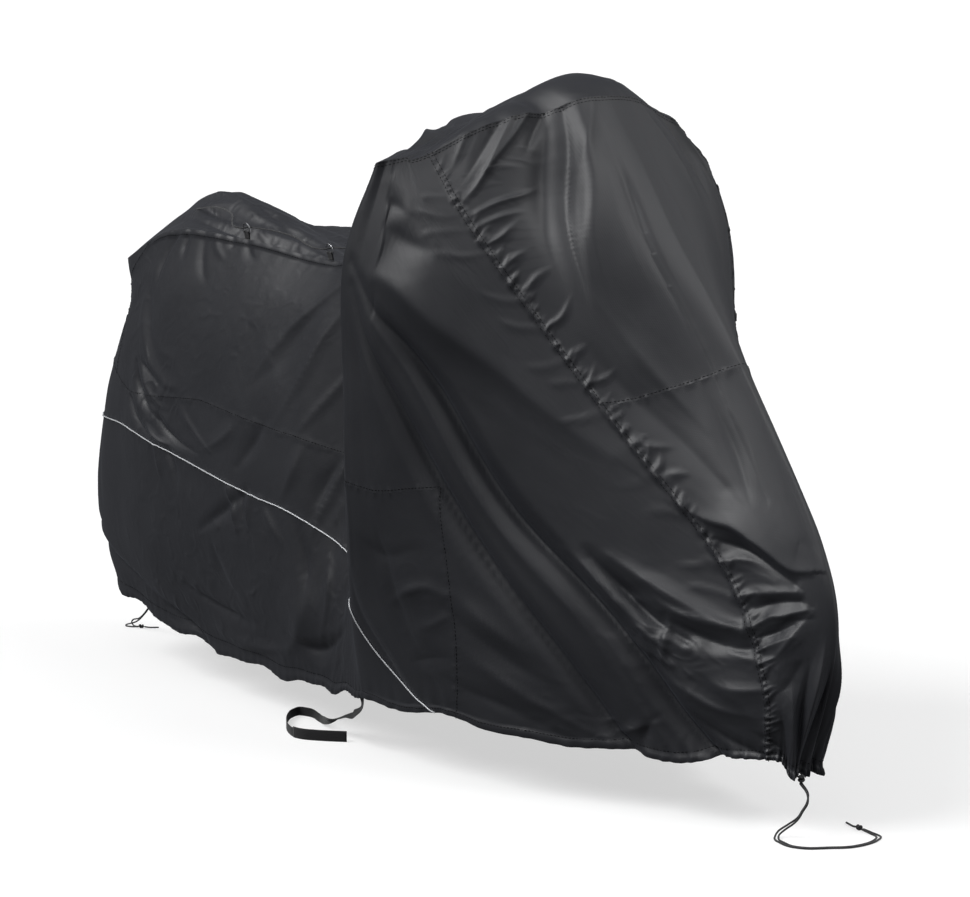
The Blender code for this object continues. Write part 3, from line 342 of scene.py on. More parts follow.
    ("lip_three", "RL", 6, 9, -6, 1, 0, (57, 100, 59, 94, 63, 88, 67, 85)),
    ("lip_four", "RL", 5, 6, 6, 1, 0, (61, 100, 64, 96, 70, 92)),
    ("lip_five", "RL", 5, 6, -7, 1, 0, (68, 100, 70, 96)),
    ("lip_six", "RL", 5, 8, -5, 1, 0, (74, 100, 77, 96, 81, 94)),
    ("lip_seven", "RL", 5, 7, -4, 1, 0, (93, 100, 94, 96)),
    ("lip_eight", "RL", 6, 8, -5, 1, 0, (106, 100, 104, 94)),
    ("side_line_one", "RL", 10, 6, 7, .1, 0, (124, 93, 116, 80, 110, 68, 105, 59, 100, 52)),
    ("side_line_two", "R", 8, 5, 5, 0, 0, (128, 76, 120, 66, 113, 57, 107, 50)),
    ("side_line_three", "R", 8, 6, 5, .2, 0, (120, 98, 108, 84, 98, 72, 90, 60)),
    ("side_line_four", "R", 8, 5, 6, 0, 0, (130, 58, 124, 48, 119, 38, 116, 28)),
    ("knee_hollow", "RL", 30, 24, -9, .2, 0, (120, 97, 108, 80, 100, 68, 88, 60)),
    ("knee_fall", "RL", 20, 24, 8, 0, 0, (134, 80, 136, 60, 137, 42, 136, 25)),
    ("recess_fall", "RL", 12, 16, -9, .2, 0, (144, 90, 143, 66, 142, 45, 141, 26)),
    ("recess_ridge", "R", 10, 14, 6, 0, 0, (128, 52, 130, 38, 130, 22)),
    ("recess_crease", "R", 8, 10, -5, 0, 0, (133, 40, 135, 26, 134, 12)),
    ("tail_pull", "RL", 20, 16, -7, .1, .1, (34, 92, 42, 80, 48, 70, 60, 60)),
    ("tail_pull_crest", "RL", 10, 12, 4, .1, 0, (36, 84, 42, 73, 52, 62, 66, 55.5)),
    ("crumple_one", "R", 7, 9, -16, .3, .2, (42, 64, 45, 58.5, 50, 54, 57, 51.5)),
    ("crumple_one_lip", "R", 8, 5, 8, .2, 0, (44, 65.5, 48, 60, 54, 56, 62, 53.5)),
    ("crumple_two", "R", 6, 8, -13, .2, .2, (54, 55.5, 60, 50, 66, 47.5, 74, 46.2)),
    ("crumple_two_lip", "R", 6, 5, 7, .2, .2, (50, 50, 56, 47.5, 63, 46.2)),
    ("crumple_three", "R", 6, 7, -9, .1, 0, (40, 67, 49, 62.5, 58, 59, 71, 57.5)),
    ("crumple_four", "R", 6, 8, -10, 0, .2, (36, 60, 40, 55, 46, 50, 54, 47.2)),
    ("crumple_five", "R", 6, 6, 7, .1, .3, (62, 60, 66, 55, 72, 51, 80, 47.5)),
    ("under_piping_one", "R", 6, 7, 7, .9, 0, (56, 45.5, 58, 41, 60, 36)),
    ("under_piping_two", "R", 7, 7, -8, .9, 0, (62, 45, 65, 40, 66, 34)),
    ("under_piping_three", "R", 6, 7, 9, .9, 0, (88, 41, 90, 36, 92, 29)),
    ("under_piping_four", "R", 6, 7, -8, .9, 0, (93, 40, 95, 34, 98, 28)),
    ("band_rear_one", "RL", 10, 14, -8, .2, .3, (100, 56, 95, 50, 91, 46)),
    ("band_rear_two", "R", 10, 12, 6, .2, .3, (114, 54, 111, 47, 108, 42.5)),
    ("band_rear_three", "R", 9, 12, 6, .1, .1, (91, 56, 85, 51, 76, 47)),
    ("band_rear_four", "R", 10, 12, -6, 0, .3, (124, 52, 120, 44, 118, 38)),
    ("low_one", "RL", 8, 10, -10, .4, 0, (95, 42, 88, 37, 80, 32, 72, 27.5)),
    ("low_two", "R", 7, 6, 8, .6, 0, (96, 41, 95, 35, 96, 29)),
    ("low_three", "R", 7, 8, 8, .5, 0, (100, 41, 105, 36, 110, 31)),
    ("low_four", "RL", 10, 12, -10, 0, .1, (80, 30, 82, 23, 86, 18, 93, 14.5)),
    ("low_sheen", "R", 30, 34, 14, 0, .3, (118, 30, 116, 20, 112, 12, 104, 5)),
    ("low_five", "R", 8, 10, -8, .3, .1, (113, 39, 117, 28, 115, 15)),
    ("low_six", "R", 8, 9, 8, .2, .1, (124, 34, 126, 22, 122, 10)),
    ("hem_pull_one", "RL", 8, 14, -12, .1, .2, (8, 16, 20, 13, 34, 10, 48, 8.5)),
    ("hem_pull_two", "RL", 8, 12, -12, .1, .6, (36, 10, 50, 6, 62, 3, 70, 0)),
    ("hem_pull_three", "R", 7, 12, -11, 0, 0, (56, 17, 72, 13, 88, 11.5, 102, 12)),
    ("hem_pull_four", "R", 8, 10, 9, .1, .1, (70, 7.5, 84, 5.5, 98, 6, 108, 8)),
    ("hem_pull_five", "R", 10, 14, -14, .2, .1, (108, 12, 118, 10, 128, 12, 138, 17)),
    ("hem_pull_six", "RL", 8, 12, -8, 0, 0, (2, 24, 14, 20, 27, 18.5)),
    ("tail_corner", "RL", 16, 18, -6, 0, 0, (20, 55, 22, 38, 26, 20)),
    ("tail_corner_ridge", "RL", 16, 16, 6, 0, 0, (10, 60, 12, 42, 15, 22)),
    # the far side has a looser hang of its own
    ("far_fall_one", "L", 30, 28, -12, 0, .4, (172, 80, 176, 55, 180, 30, 182, 6)),
    ("far_fall_two", "L", 26, 20, 10, 0, .1, (190, 74, 198, 52, 204, 28)),
    ("far_fall_three", "L", 22, 24, -10, 0, .1, (208, 66, 214, 46, 218, 24)),
    ("far_toe", "L", 14, 18, 9, 0, .2, (202, 22, 210, 16, 220, 15)),
    ("far_line_one", "L", 14, 14, 7, 0, 0, (70, 94, 78, 78, 90, 66)),
    ("far_line_two", "L", 12, 14, -9, 0, 0, (52, 60, 66, 50, 82, 46)),
    ("far_line_three", "L", 16, 18, 8, 0, .2, (102, 40, 110, 26, 112, 10)),
]
SWELLS = [
    # name, size of the swell, height over the whole cloth
    ("slack", 0.26, 0.0022),
    ("sag", 0.12, 0.0009),
    ("crinkle", 0.055, 0.0003),
]
CRUSHED = [
    # name, sides, middle (at, up), reach along and up, height, size, slant
    ("rear_crumples", "R", (0.52, 0.56), 0.15, 0.12, 0.0038, 0.05, -0.5),
    ("rear_low", "RL", (0.8, 0.24), 0.34, 0.2, 0.0028, 0.085, -0.6),
    ("rear_hem", "RL", (0.6, 0.09), 0.44, 0.08, 0.0028, 0.07, 0.1),
    ("recess", "RL", (1.3, 0.3), 0.12, 0.32, 0.0022, 0.05, 1.45),
    ("band_cloth", "R", (1.68, 0.22), 0.07, 0.12, 0.0014, 0.06, -0.4),
    ("shin", "R", (1.95, 0.05), 0.16, 0.07, 0.002, 0.05, -0.75),
    ("pocket", "R", (2.1, 0.23), 0.07, 0.09, 0.0034, 0.05, 0.2),
    ("nose", "RL", (2.33, 0.28), 0.09, 0.14, 0.0013, 0.055, 0.15),
    ("under_mirror", "R", (2.14, 0.8), 0.09, 0.08, 0.0006, 0.045, 0.35),
    ("screen_top", "RL", (2.36, 0.92), 0.08, 0.08, 0.0012, 0.045, -0.9),
    ("tail_upper", "RL", (0.22, 0.8), 0.2, 0.2, 0.0026, 0.07, 0.6),
    ("side_upper", "RL", (0.85, 0.72), 0.36, 0.22, 0.0012, 0.09, -1.0),
    ("far_side", "L", (1.85, 0.4), 0.36, 0.46, 0.003, 0.08, -0.9),
]


def swell(places, size, dice):
    """Smooth chance rise and fall, about -1 to 1, with bumps of the given size."""
    dice = np.random.default_rng(dice)
    total = np.zeros(len(places))
    for wave in range(9):
        way = dice.normal(size=places.shape[1])
        way *= 2 * math.pi / (np.linalg.norm(way) * size * 2 * dice.uniform(0.7, 1.5))
        total += np.sin(places @ way + dice.uniform(0, 2 * math.pi))
    return total / 3.2


def nearest_on(line, places):
    """For each place: its distance to a line of points, the part of the way and the offset."""
    best = np.full(len(places), np.inf)
    part = np.zeros(len(places))
    offset = np.zeros_like(places)
    heading = np.zeros_like(places)
    for k in range(len(line) - 1):
        along = line[k + 1] - line[k]
        rel = places - line[k]
        u = np.clip(rel @ along / (along @ along), 0.0, 1.0)
        away = rel - u[:, None] * along
        size = np.einsum("ij,ij->i", away, away)
        closer = size < best
        best[closer] = size[closer]
        part[closer] = (k + u[closer]) / (len(line) - 1)
        offset[closer] = away[closer]
        heading[closer] = along / np.linalg.norm(along)
    return np.sqrt(best), part, offset, heading


def fold_way(route, count):
    """Close-spaced places on the smooth curve through a fold's route."""
    stops = np.reshape(route, (-1, 2)) / 100
    return through(stops, np.linspace(0, 1, len(stops)), np.linspace(0, 1, count))


def fold_line(route, far):
    """Close-spaced points of a fold on the smooth drape."""
    ways = fold_way(route, max(4 * len(route) - 8, 16))
    return drape(np.clip(ways[:, 0], 0, FRONT), np.clip(ways[:, 1], 0, 1), far)


def one_fold(line, places, normals, fore, aft, height, ends):
    """Rise of one fold at places: a soft crest or trough, wider and narrower along it."""
    reach = 3.2 * max(fore, aft)
    near = ((places > line.min(axis=0) - reach) & (places < line.max(axis=0) + reach)).all(axis=1)
    rise = np.zeros(len(places))
    if not near.any():
        return rise
    away, part, offset, heading = nearest_on(line, places[near])
    side = np.einsum("ij,ij->i", offset, np.cross(normals[near], heading))
    width = np.where(side > 0, aft, fore)
    size = np.where(part < 0.45, ends[0] + (1 - ends[0]) * smooth(part / 0.45),
                    ends[1] + (1 - ends[1]) * smooth((1 - part) / 0.55))
    x = away / (width * (0.45 + 0.55 * size))
    soft = 0.3 if height > 0 else 0.45
    shape = np.exp(-(np.sqrt(x * x + soft * soft) - soft)) * (1 - smooth((x - 2.0) / 1.2))
    rise[near] = height * size * shape
    return rise


girth_s = np.linspace(0.0, FRONT, 253)
girth_run = run_along(drape(girth_s, 0.5))
rib_s = np.linspace(0.0, FRONT, 64)
rib_lines = np.array([drape(rib_s, t) for t in np.linspace(0, 1, 15)])
rib_long = np.linalg.norm(np.diff(rib_lines, axis=0), axis=2).sum(axis=0)

# Seams that pull the cloth: each runs along a column or a row of the layout, with
# short creases on both of its sides, long before it and short behind it.
SEAMS = [
    # name, columns from and to, rows from and to, apart, height, long, short, slant
    ("long_front", (PRIN, PRIN), (TOP, 0), 0.0105, 0.0036, 0.024, 0.008, 0.45),
    ("screen_cross", (PRIN, LAST), (MID, MID), 0.015, 0.0012, 0.008, 0.012, 0.2),
    ("top_edge", (BAR, LAST), (TOP, TOP), 0.02, 0.0016, 0.006, 0.02, -0.5),
    ("level_rear", (0, BAND), (MID, MID), 0.017, 0.0014, 0.01, 0.016, 0.3),
    ("tail_edge", (TAIL, TAIL), (TOP, MID), 0.019, 0.0016, 0.014, 0.014, 0.4),
    ("band_edge", (BAND, BAND), (MID, 0), 0.02, 0.001, 0.01, 0.012, 0.3),
    ("piped_rear", (0, BAR), (LOW, LOW), 0.021, 0.0012, 0.01, 0.016, 0.3),
]
GATHERS = [  # at, height of the gathers along the hem
    (0.0, 0.001), (0.2, 0.0012), (0.45, 0.0006), (1.3, 0.0007), (1.6, 0.0012), (2.05, 0.0014),
    (2.25, 0.0024), (2.4, 0.004), (2.52, 0.004)]


def seam_places(columns, rows, count):
    """Layout places along a seam, close together."""
    return np.linspace(*columns, count), np.linspace(*rows, count)


def outward(surface, s, t, least=0, *far):
    """Normals of a smooth surface, and the ways forwards and up (on the strip, left) on it."""
    d = 0.01
    ahead = surface(s + d, t, *far) - surface(s - d, t, *far)
    upward = surface(s, np.minimum(t + d, 1), *far) - surface(s, np.maximum(t - d, least), *far)
    normals = np.cross(upward, ahead)
    return normals / np.maximum(np.linalg.norm(normals, axis=1), 1e-9)[:, None], ahead, upward


def pucker_lines(number, side):
    """The short creases that a seam pulls in the cloth: (line, half width, height)."""
    name, columns, rows, apart, height, long, short, slant = SEAMS[number]
    dice = np.random.default_rng(300 + number)
    s, t = place_on_rib(*seam_places(columns, rows, 400))
    line = drape(s, t, side == "L")
    normals, ahead, upward = outward(drape, s, t, 0, side == "L")
    lengths = run_along(line)
    made = []
    run = apart * dice.uniform(0.3, 1.0)
    while run < lengths[-1] - 0.004:
        k = int(np.searchsorted(lengths, run)) - 1
        heading = line[k + 1] - line[k]
        heading /= np.linalg.norm(heading)
        over = np.cross(normals[k], heading)
        over *= 1.0 if over @ ahead[k] + 0.3 * over @ upward[k] > 0 else -1.0
        tall = height * dice.uniform(0.45, 1.25)
        for way, reach in ((1, long), (-1, short)):
            reach = reach * dice.choice([0.5, 0.8, 1.1, 1.6]) * dice.uniform(0.8, 1.2)
            turn = slant + dice.normal(0, 0.25)
            out = way * over - heading * turn * (0.9 if way > 0 else 0.2)
            bend = heading * reach * dice.normal(0, 0.12)
            stops = np.array([-0.1, 0.2, 0.6, 1.0])[:, None]
            made.append((line[k] + out * reach * stops + bend * stops ** 2,
                         dice.uniform(0.0024, 0.0042), tall * (1 if way > 0 else 0.6)))
        run += apart * dice.uniform(0.6, 1.5)
    return made


def cloth_stand(s, t, places, normals, side):
    """How far the hung cloth stands off the smooth drape at places of one side."""
    far = side == "L"
    wander = places + 0.0045 * np.stack(
        [swell(places, 0.16, 11), swell(places, 0.16, 12), swell(places, 0.16, 13)], axis=1)
    rise = np.zeros(len(places))
    for name, sides, fore, aft, height, start, end, *routes in FOLDS:
        for route in routes if side in sides else ():
            rise += one_fold(fold_line(route, far), wander, normals,
                             fore / 1000, aft / 1000, height / 1000, (start, end))
    run = np.interp(s, girth_s, girth_run)
    long = np.interp(s, rib_s, rib_long)
    for number, (name, size, height) in enumerate(SWELLS):
        rise += height * swell(places * (1.0, 1.0, 0.6), size, 20 + number)
    for number, (name, sides, middle, along, up, height, size, slant) in enumerate(CRUSHED):
        if side not in sides:
            continue
        mask = np.exp(-((s - middle[0]) / along) ** 2 - ((t - middle[1]) / up) ** 2)
        turned = np.stack([run * math.cos(slant) + t * long * math.sin(slant),
                           -run * math.sin(slant) + t * long * math.cos(slant)], axis=1)
        turned += 0.012 * np.stack([swell(places, 0.07, 50), swell(places, 0.07, 51)], axis=1)
        crush = swell(turned * (0.38, 1.0), size, 60 + number)
        crush = np.sqrt(crush * crush + 0.008) - 0.5
        rise -= height * mask * crush
    for number in range(len(SEAMS)):
        for line, width, height in pucker_lines(number, side):
            rise += one_fold(line, places, normals, width, width, height, (0.9, 0.0))
    hem = t * long
    rise += 0.0034 * np.sqrt(np.clip(1 - ((hem - 0.009) / 0.011) ** 2, 0, 1))
    gather = np.sin(2 * math.pi * run / 0.031 + 1.7 * swell(places, 0.1, 41))
    gather += 0.7 * np.sin(2 * math.pi * run / 0.019 + 1.3 * swell(places, 0.08, 42))
    rise += table(GATHERS, s) * gather * np.exp(-hem / 0.03)
    rear = smooth((s - 0.3) / 0.06) * (1 - smooth((s - 1.4) / 0.08))
    lip = (1 - t) * long
    rise += rear * 0.0032 * np.sqrt(np.clip(1 - ((lip - 0.008) / 0.01) ** 2, 0, 1))
    tuck = np.sin(2 * math.pi * run / 0.04 + 1.6 * swell(places, 0.12, 43))
    rise += rear * 0.0008 * tuck * np.exp(-lip / 0.03)
    tip = smooth((s - 1.4) / 0.1) * (1 - smooth((s - 2.25) / 0.1)) * smooth((t - 0.86) / 0.14)
    middle = smooth(s / 0.05) * smooth((FRONT - s) / 0.02)
    return rise * (1 - 0.85 * tip) * (0.35 + 0.65 * middle)


def creased(s, t, side):
    """How finely creased the cloth is, 0 to 1."""
    amount = np.full(len(s), 0.04)
    for name, sides, middle, along, up, height, size, slant in CRUSHED:
        if side in sides:
            spread = ((s - middle[0]) / along) ** 2 + ((t - middle[1]) / up) ** 2
            amount = np.maximum(amount, height / 0.005 * np.exp(-spread))
    return np.clip(amount, 0, 1)


def side_surface(side, i, j):
    """Leaned places, upright normals and way around and up, on the hung cloth of one side."""
    far = side == "L"
    s, t = place_on_rib(i, j)
    s, t = s.ravel(), t.ravel()
    places = drape(s, t, far)
    normals = outward(drape, s, t, 0, far)[0]
    places = places + normals * cloth_stand(s, t, places, normals, side)[:, None]
    gather = np.sin(23 * s) + 0.6 * np.sin(41 * s + 1.0)
    places[:, 2] += 0.006 * gather * (1 - smooth(t / 0.06)) * smooth(s / 0.05) * smooth((FRONT - s) / 0.05)
    if not far:
        places, normals = places * MIRROR, normals * MIRROR
    run = np.interp(s, girth_s, girth_run)
    long = t * np.interp(s, rib_s, rib_long)
    return leaned(places), normals, np.stack([run, long, creased(s, t, side)], axis=1)


STRIP_FOLDS = [
    # name, half width, height (both mm), route: at, across, ... (hundredths)
    ("roll_end", 12, 14, (30, 5, 31, -18, 34, -32, 38, -44)),
    ("roll_top", 34, 22, (38, -10, 50, -16, 66, -18, 84, -20, 110, -24)),
    ("roll_foot", 12, -22, (37, -52, 50, -56, 64, -52, 84, -48, 110, -50)),
    ("roll_crease", 7, -10, (35, -26, 42, -36, 52, -40, 66, -37)),
    ("roll_crease_two", 7, -10, (44, -5, 56, -14, 72, -24, 92, -34)),
    ("roll_fold", 8, 8, (50, -34, 62, -42, 78, -36, 96, -38)),
    ("lip_gutter", 16, -28, (40, -80, 70, -82, 100, -80, 134, -76)),
    ("far_gutter", 20, -14, (42, 76, 70, 76, 100, 76, 134, 72)),
    ("far_roll", 24, 10, (50, 40, 80, 38, 112, 34)),
    ("far_crease", 10, -8, (46, 22, 70, 24, 102, 18)),
    ("seat_end", 16, -10, (112, -60, 120, -30, 122, 0, 120, 34)),
    ("back_pull_one", 12, -18, (146, -30, 154, -50, 160, -70, 166, -92)),
    ("back_pull_two", 7, 12, (150, -24, 160, -46, 168, -68, 174, -92)),
    ("back_pull_three", 10, -16, (156, -20, 168, -44, 177, -68, 184, -92)),
    ("back_pull_four", 18, -7, (140, 40, 164, 46, 194, 40)),
    ("top_pull_one", 8, 10, (166, -24, 178, -46, 187, -70, 193, -92)),
    ("top_pull_two", 8, -12, (176, -26, 190, -50, 200, -74, 206, -92)),
    ("top_pull_three", 8, 8, (190, -20, 204, -44, 213, -68, 218, -90)),
]


def strip_surface(i, across):
    """Leaned places and way along and across, on the hung top strip."""
    i, across = np.broadcast_arrays(np.asarray(i, float), np.asarray(across, float))
    i, across = i.ravel(), across.ravel()
    s = place_on_rib(np.maximum(i, TAIL + 1), np.full(len(i), float(TOP)))[0]
    plain = strip(s, across)
    normals = -outward(strip, s, across, -1)[0]
    rise = np.zeros(len(s))
    for name, width, height, route in STRIP_FOLDS:
        line = strip(*fold_way(route, 24).T)
        rise += one_fold(line, plain, normals, width / 1000, width / 1000, height / 1000, (0.2, 0.2))
    for number, (name, size, height) in enumerate(SWELLS):
        rise += height * swell(plain, size, 70 + number)
    rear = 1 - smooth((s - 1.3) / 0.2)
    creases = swell(np.stack([s * 0.22, across * 0.22], axis=1), 0.03, 80)
    rise -= rear * 0.005 * (np.sqrt(creases * creases + 0.02) - 0.5)
    rise += (1 - rear) * 0.001 * swell(plain, 0.06, 81)
    inside = smooth((1 - np.abs(across)) / 0.3)
    places = leaned(plain) + normals * (rise * inside)[:, None]
    at = np.unique(i)
    rows = np.full(len(at), float(TOP))
    for side, sign in (("R", -1), ("L", 1)):
        rim = side_surface(side, at, rows)[0]
        flat = leaned(strip(place_on_rib(at, rows)[0], float(sign)))
        shift = (rim - flat)[np.searchsorted(at, i)]
        places = places + shift * smooth(1 - (1 - sign * across) / 0.25)[:, None]
    run = np.interp(s, girth_s, girth_run)
    return places, np.stack([run, across * 0.25, 0.2 + 0.6 * rear], axis=1)


def sheet_object(name, places, ways, faces, pull=0.0001):
    """One cut panel as a thin sheet, drawn in a little from its seams, with its weave laid out."""
    used = np.unique(np.concatenate([np.asarray(f).ravel() for f in faces]))
    index = np.full(len(places), -1)
    index[used] = np.arange(len(used))
    mesh = bpy.data.meshes.new(name)
    mesh.from_pydata(places[used].tolist(), [], [tuple(index[list(f)]) for f in faces])
    work = bmesh.new()
    work.from_mesh(mesh)
    layer = work.loops.layers.uv.new("weave")
    worn = work.verts.layers.float.new("creased")
    work.verts.ensure_lookup_table()
    flat = ways[used]
    for vert in work.verts:
        vert[worn] = flat[vert.index][2]
    for face in work.faces:
        for loop in face.loops:
            loop[layer].uv = flat[loop.vert.index][:2]
    shifts = []
    for vert in work.verts:
        if vert.is_boundary:
            centre = sum((f.calc_center_median() for f in vert.link_faces), Vector())
            into = centre / len(vert.link_faces) - vert.co
            shifts.append((vert, into.normalized() * pull))
    for vert, shift in shifts:
        vert.co += shift
    bmesh.ops.remove_doubles(work, verts=work.verts, dist=1e-5)
    bmesh.ops.dissolve_degenerate(work, edges=work.edges, dist=1e-6)
    for face in work.faces:
        face.smooth = True
    for edge in work.edges:
        edge.smooth = not edge.is_boundary
    work.to_mesh(mesh)
    work.free()
    panel = put(name, mesh)
    wall = panel.modifiers.new("thickness", "SOLIDIFY")
    wall.thickness = SHEET
    wall.offset = 0.0
    return panel


def linear(value):
    """An sRGB hex colour as linear numbers for a shader."""
    parts = [int(value[k:k + 2], 16) / 255 for k in (1, 3, 5)]
    return tuple(p / 12.92 if p <= 0.04045 else ((p + 0.055) / 1.055) ** 2.4 for p in parts) + (1.0,)


def finish(name, **settings):
    """A new node finish with its shader's plain settings: (material, tree, shader)."""
    material = bpy.data.materials.new(name)
    material.use_nodes = True
    shader = material.node_tree.nodes["Principled BSDF"]
    for key, value in settings.items():
        shader.inputs[key.replace("_", " ")].default_value = value
    return material, material.node_tree, shader


def node(tree, kind, settings=None, **links):
    """Adds a node, a shader one by its short kind; links name inputs, as a value or an output."""
    made = tree.nodes.new(kind if "Node" in kind else "ShaderNode" + kind)
    for key, value in (settings or {}).items():
        setattr(made, key, value)
    for key, value in links.items():
        socket = made.inputs[int(key[1:])] if key[0] == "_" else made.inputs[key.replace("_", " ")]
        if isinstance(value, bpy.types.NodeSocket):
            tree.links.new(value, socket)
        else:
            socket.default_value = value
    return made


# Woven polyester, dyed black before spinning and coated inside with polyurethane:
# a close plain weave with a satin face, which gives broad soft lights on the folds
# and near black in the deep ones, and a faint uneven shade where it has been creased.
polyester, tree, shader = finish("coated_polyester", IOR=1.5, Sheen_Weight=0.1,
                                 Sheen_Roughness=0.45, Sheen_Tint=linear("#9aa0ad"))
laid = node(tree, "UVMap", {"uv_map": "weave"})
shade = node(tree, "TexNoise", {"noise_dimensions": "2D"},
             Vector=laid.outputs["UV"], Scale=9.0, Detail=4.0, Roughness=0.6)
dye = node(tree, "Mix", {"data_type": "RGBA"}, Factor=shade.outputs["Fac"],
           A=linear("#222327"), B=linear("#2a2b2f"))
tree.links.new(dye.outputs["Result"], shader.inputs["Base Color"])
gloss = node(tree, "MapRange", Value=shade.outputs["Fac"], _3=0.46, _4=0.54)
tree.links.new(gloss.outputs["Result"], shader.inputs["Roughness"])
# Threads run 0.45 mm apart; they are drawn 1.4 mm apart so that they show at all.
warp, weft = [node(tree, "TexWave", {"bands_direction": way}, Vector=laid.outputs["UV"],
                   Scale=1 / 0.0014 / 6.2832, Distortion=0.6, Detail=1.0) for way in "XY"]
weave = node(tree, "Math", {"operation": "ADD"}, _0=warp.outputs["Fac"], _1=weft.outputs["Fac"])
fine = node(tree, "Bump", Strength=0.16, Distance=0.00025, Height=weave.outputs["Value"])
# Small set creases from folding and packing: soft ones 8 to 30 mm across all over,
# and sharp ones, like crushed paper, where the cloth is bunched.
packed = node(tree, "TexNoise", {"noise_dimensions": "2D"},
              Vector=laid.outputs["UV"], Scale=26.0, Detail=2.0, Roughness=0.5)
crease = node(tree, "Bump", Strength=0.3, Distance=0.0009,
              Height=packed.outputs["Fac"], Normal=fine.outputs["Normal"])
sharp = node(tree, "TexNoise", {"noise_dimensions": "2D", "noise_type": "RIDGED_MULTIFRACTAL",
                                "normalize": True},
             Vector=laid.outputs["UV"], Scale=24.0, Detail=3.0, Roughness=0.4, Distortion=0.5)
amount = node(tree, "Attribute", {"attribute_name": "creased"})
bunched = node(tree, "Math", {"operation": "MULTIPLY"},
               _0=sharp.outputs["Fac"], _1=amount.outputs["Fac"])
crushed = node(tree, "Bump", Strength=0.9, Distance=0.0055,
               Height=bunched.outputs["Value"], Normal=crease.outputs["Normal"])
tree.links.new(crushed.outputs["Normal"], shader.inputs["Normal"])

# The layout is cut fine: twelve steps to a row where the rows are long, eight near
# the rim, and as many to a column as keep the mesh near 5 mm, or 7 mm at the rear.
# The plain far panels use every second line, the front panels twice as many.
FINE = [12] * 15 + [8] * 5
steps = []
for i in range(LAST):
    wide = np.interp([COLUMNS[i], COLUMNS[i + 1]], girth_s, girth_run)
    spacing = 0.014 if i < BAR - 2 else 0.0106
    count = 2 * int(np.clip(round((wide[1] - wide[0]) / spacing), 2, 12))
    steps.append(FINE[0] if BAR <= i < BAR + LOW else count)
fine_i = np.concatenate([[i + k / steps[i] for k in range(steps[i])] for i in range(LAST)] + [[LAST]])
first = np.concatenate([[0], np.cumsum(steps)])
fine_j = np.concatenate([[j + k / FINE[j] for k in range(FINE[j])] for j in range(TOP)] + [[TOP]])
row_first = np.concatenate([[0], np.cumsum(FINE)])
tall = len(fine_j)
grid_i, grid_j = np.meshgrid(fine_i, fine_j, indexing="ij")
surface = {side: side_surface(side, grid_i, grid_j) for side in "RL"}
all_places = np.concatenate([surface["R"][0], surface["L"][0]])
all_ways = np.concatenate([surface["R"][2], surface["L"][2] * (-1, 1, 1) + (9.0, 0, 0)])
start = {"R": 0, "L": len(surface["R"][0])}
# the middle of the back is one line for both sides
back_line = np.arange(tall)
all_places[back_line] = (all_places[back_line] + all_places[start["L"] + back_line]) / 2
all_places[start["L"] + back_line] = all_places[back_line]


def grid_faces(rows, wide):
    """Four-sided faces between the places of a grid."""
    return [[p * wide + q, (p + 1) * wide + q, (p + 1) * wide + q + 1, p * wide + q + 1]
            for p in range(rows - 1) for q in range(wide - 1)]


def panel_of(i, j):
    """Names of the panels that own the lower and the upper half of a layout cell."""
    if i >= PRIN:
        name = "front_lower" if j < MID else "front_upper"
        return name, name
    if j >= MID or i >= BAND:
        return ("tail",) * 2 if i < TAIL else ("side_main",) * 2
    edge = LOW if i < BAR else LOW - 1 - (i - BAR)
    if i < BAR or j != edge:
        return ("side_low",) * 2 if j < edge else ("side_band",) * 2
    return "side_low", "side_band"


panel_faces = {}
for side, tag in (("R", "_right"), ("L", "_left")):
    for i in range(PRIN):
        for j in range(TOP):
            lower, upper = panel_of(i, j)
            own = lower.startswith("side")
            skip = 2 if side == "L" and own else 1
            for a in range(first[i], first[i + 1], skip):
                for b in range(row_first[j], row_first[j + 1], skip):
                    c = [start[side] + p * tall + q for p, q in
                         ((a, b), (a + skip, b), (a + skip, b + skip), (a, b + skip))]
                    across = (a - first[i]) + (b - row_first[j]) + skip
                    if lower == upper or across < steps[i]:
                        halves = [(lower, c)]
                    elif across > steps[i]:
                        halves = [(upper, c)]
                    else:
                        halves = [(lower, [c[0], c[1], c[3]]), (upper, [c[1], c[2], c[3]])]
                    for name, face in halves:
                        name += tag if own else ""
                        panel_faces.setdefault(name, []).append(face if side == "R" else face[::-1])
panel_mesh = {name: (all_places, all_ways, faces) for name, faces in panel_faces.items()}

# The two front panels cross the middle, and carry the closest wrinkles.
half_i = fine_i[first[PRIN]:]
half_i = np.sort(np.concatenate([half_i, (half_i[1:] + half_i[:-1]) / 2]))
close_j = np.sort(np.concatenate([fine_j, (fine_j[1:] + fine_j[:-1]) / 2]))
for name, rows in (("front_lower", close_j[close_j <= MID]), ("front_upper", close_j[close_j >= MID])):
    halves = {}
    for side in "RL":
        grid_i, grid_j = np.meshgrid(half_i, rows, indexing="ij")
        halves[side] = [part.reshape(len(half_i), len(rows), 3)
                        for part in side_surface(side, grid_i, grid_j)]
    middle = (halves["R"][0][-1] + halves["L"][0][-1]) / 2
    places = np.concatenate([halves["R"][0][:-1], middle[None], halves["L"][0][-2::-1]])
    flat_left = halves["L"][2][-2::-1] * (-1, 1, 1) + (2 * girth_run[-1], 0, 0)
    ways = np.concatenate([halves["R"][2], flat_left])
    panel_mesh[name] = (places.reshape(-1, 3), ways.reshape(-1, 3), grid_faces(len(places), len(rows)))

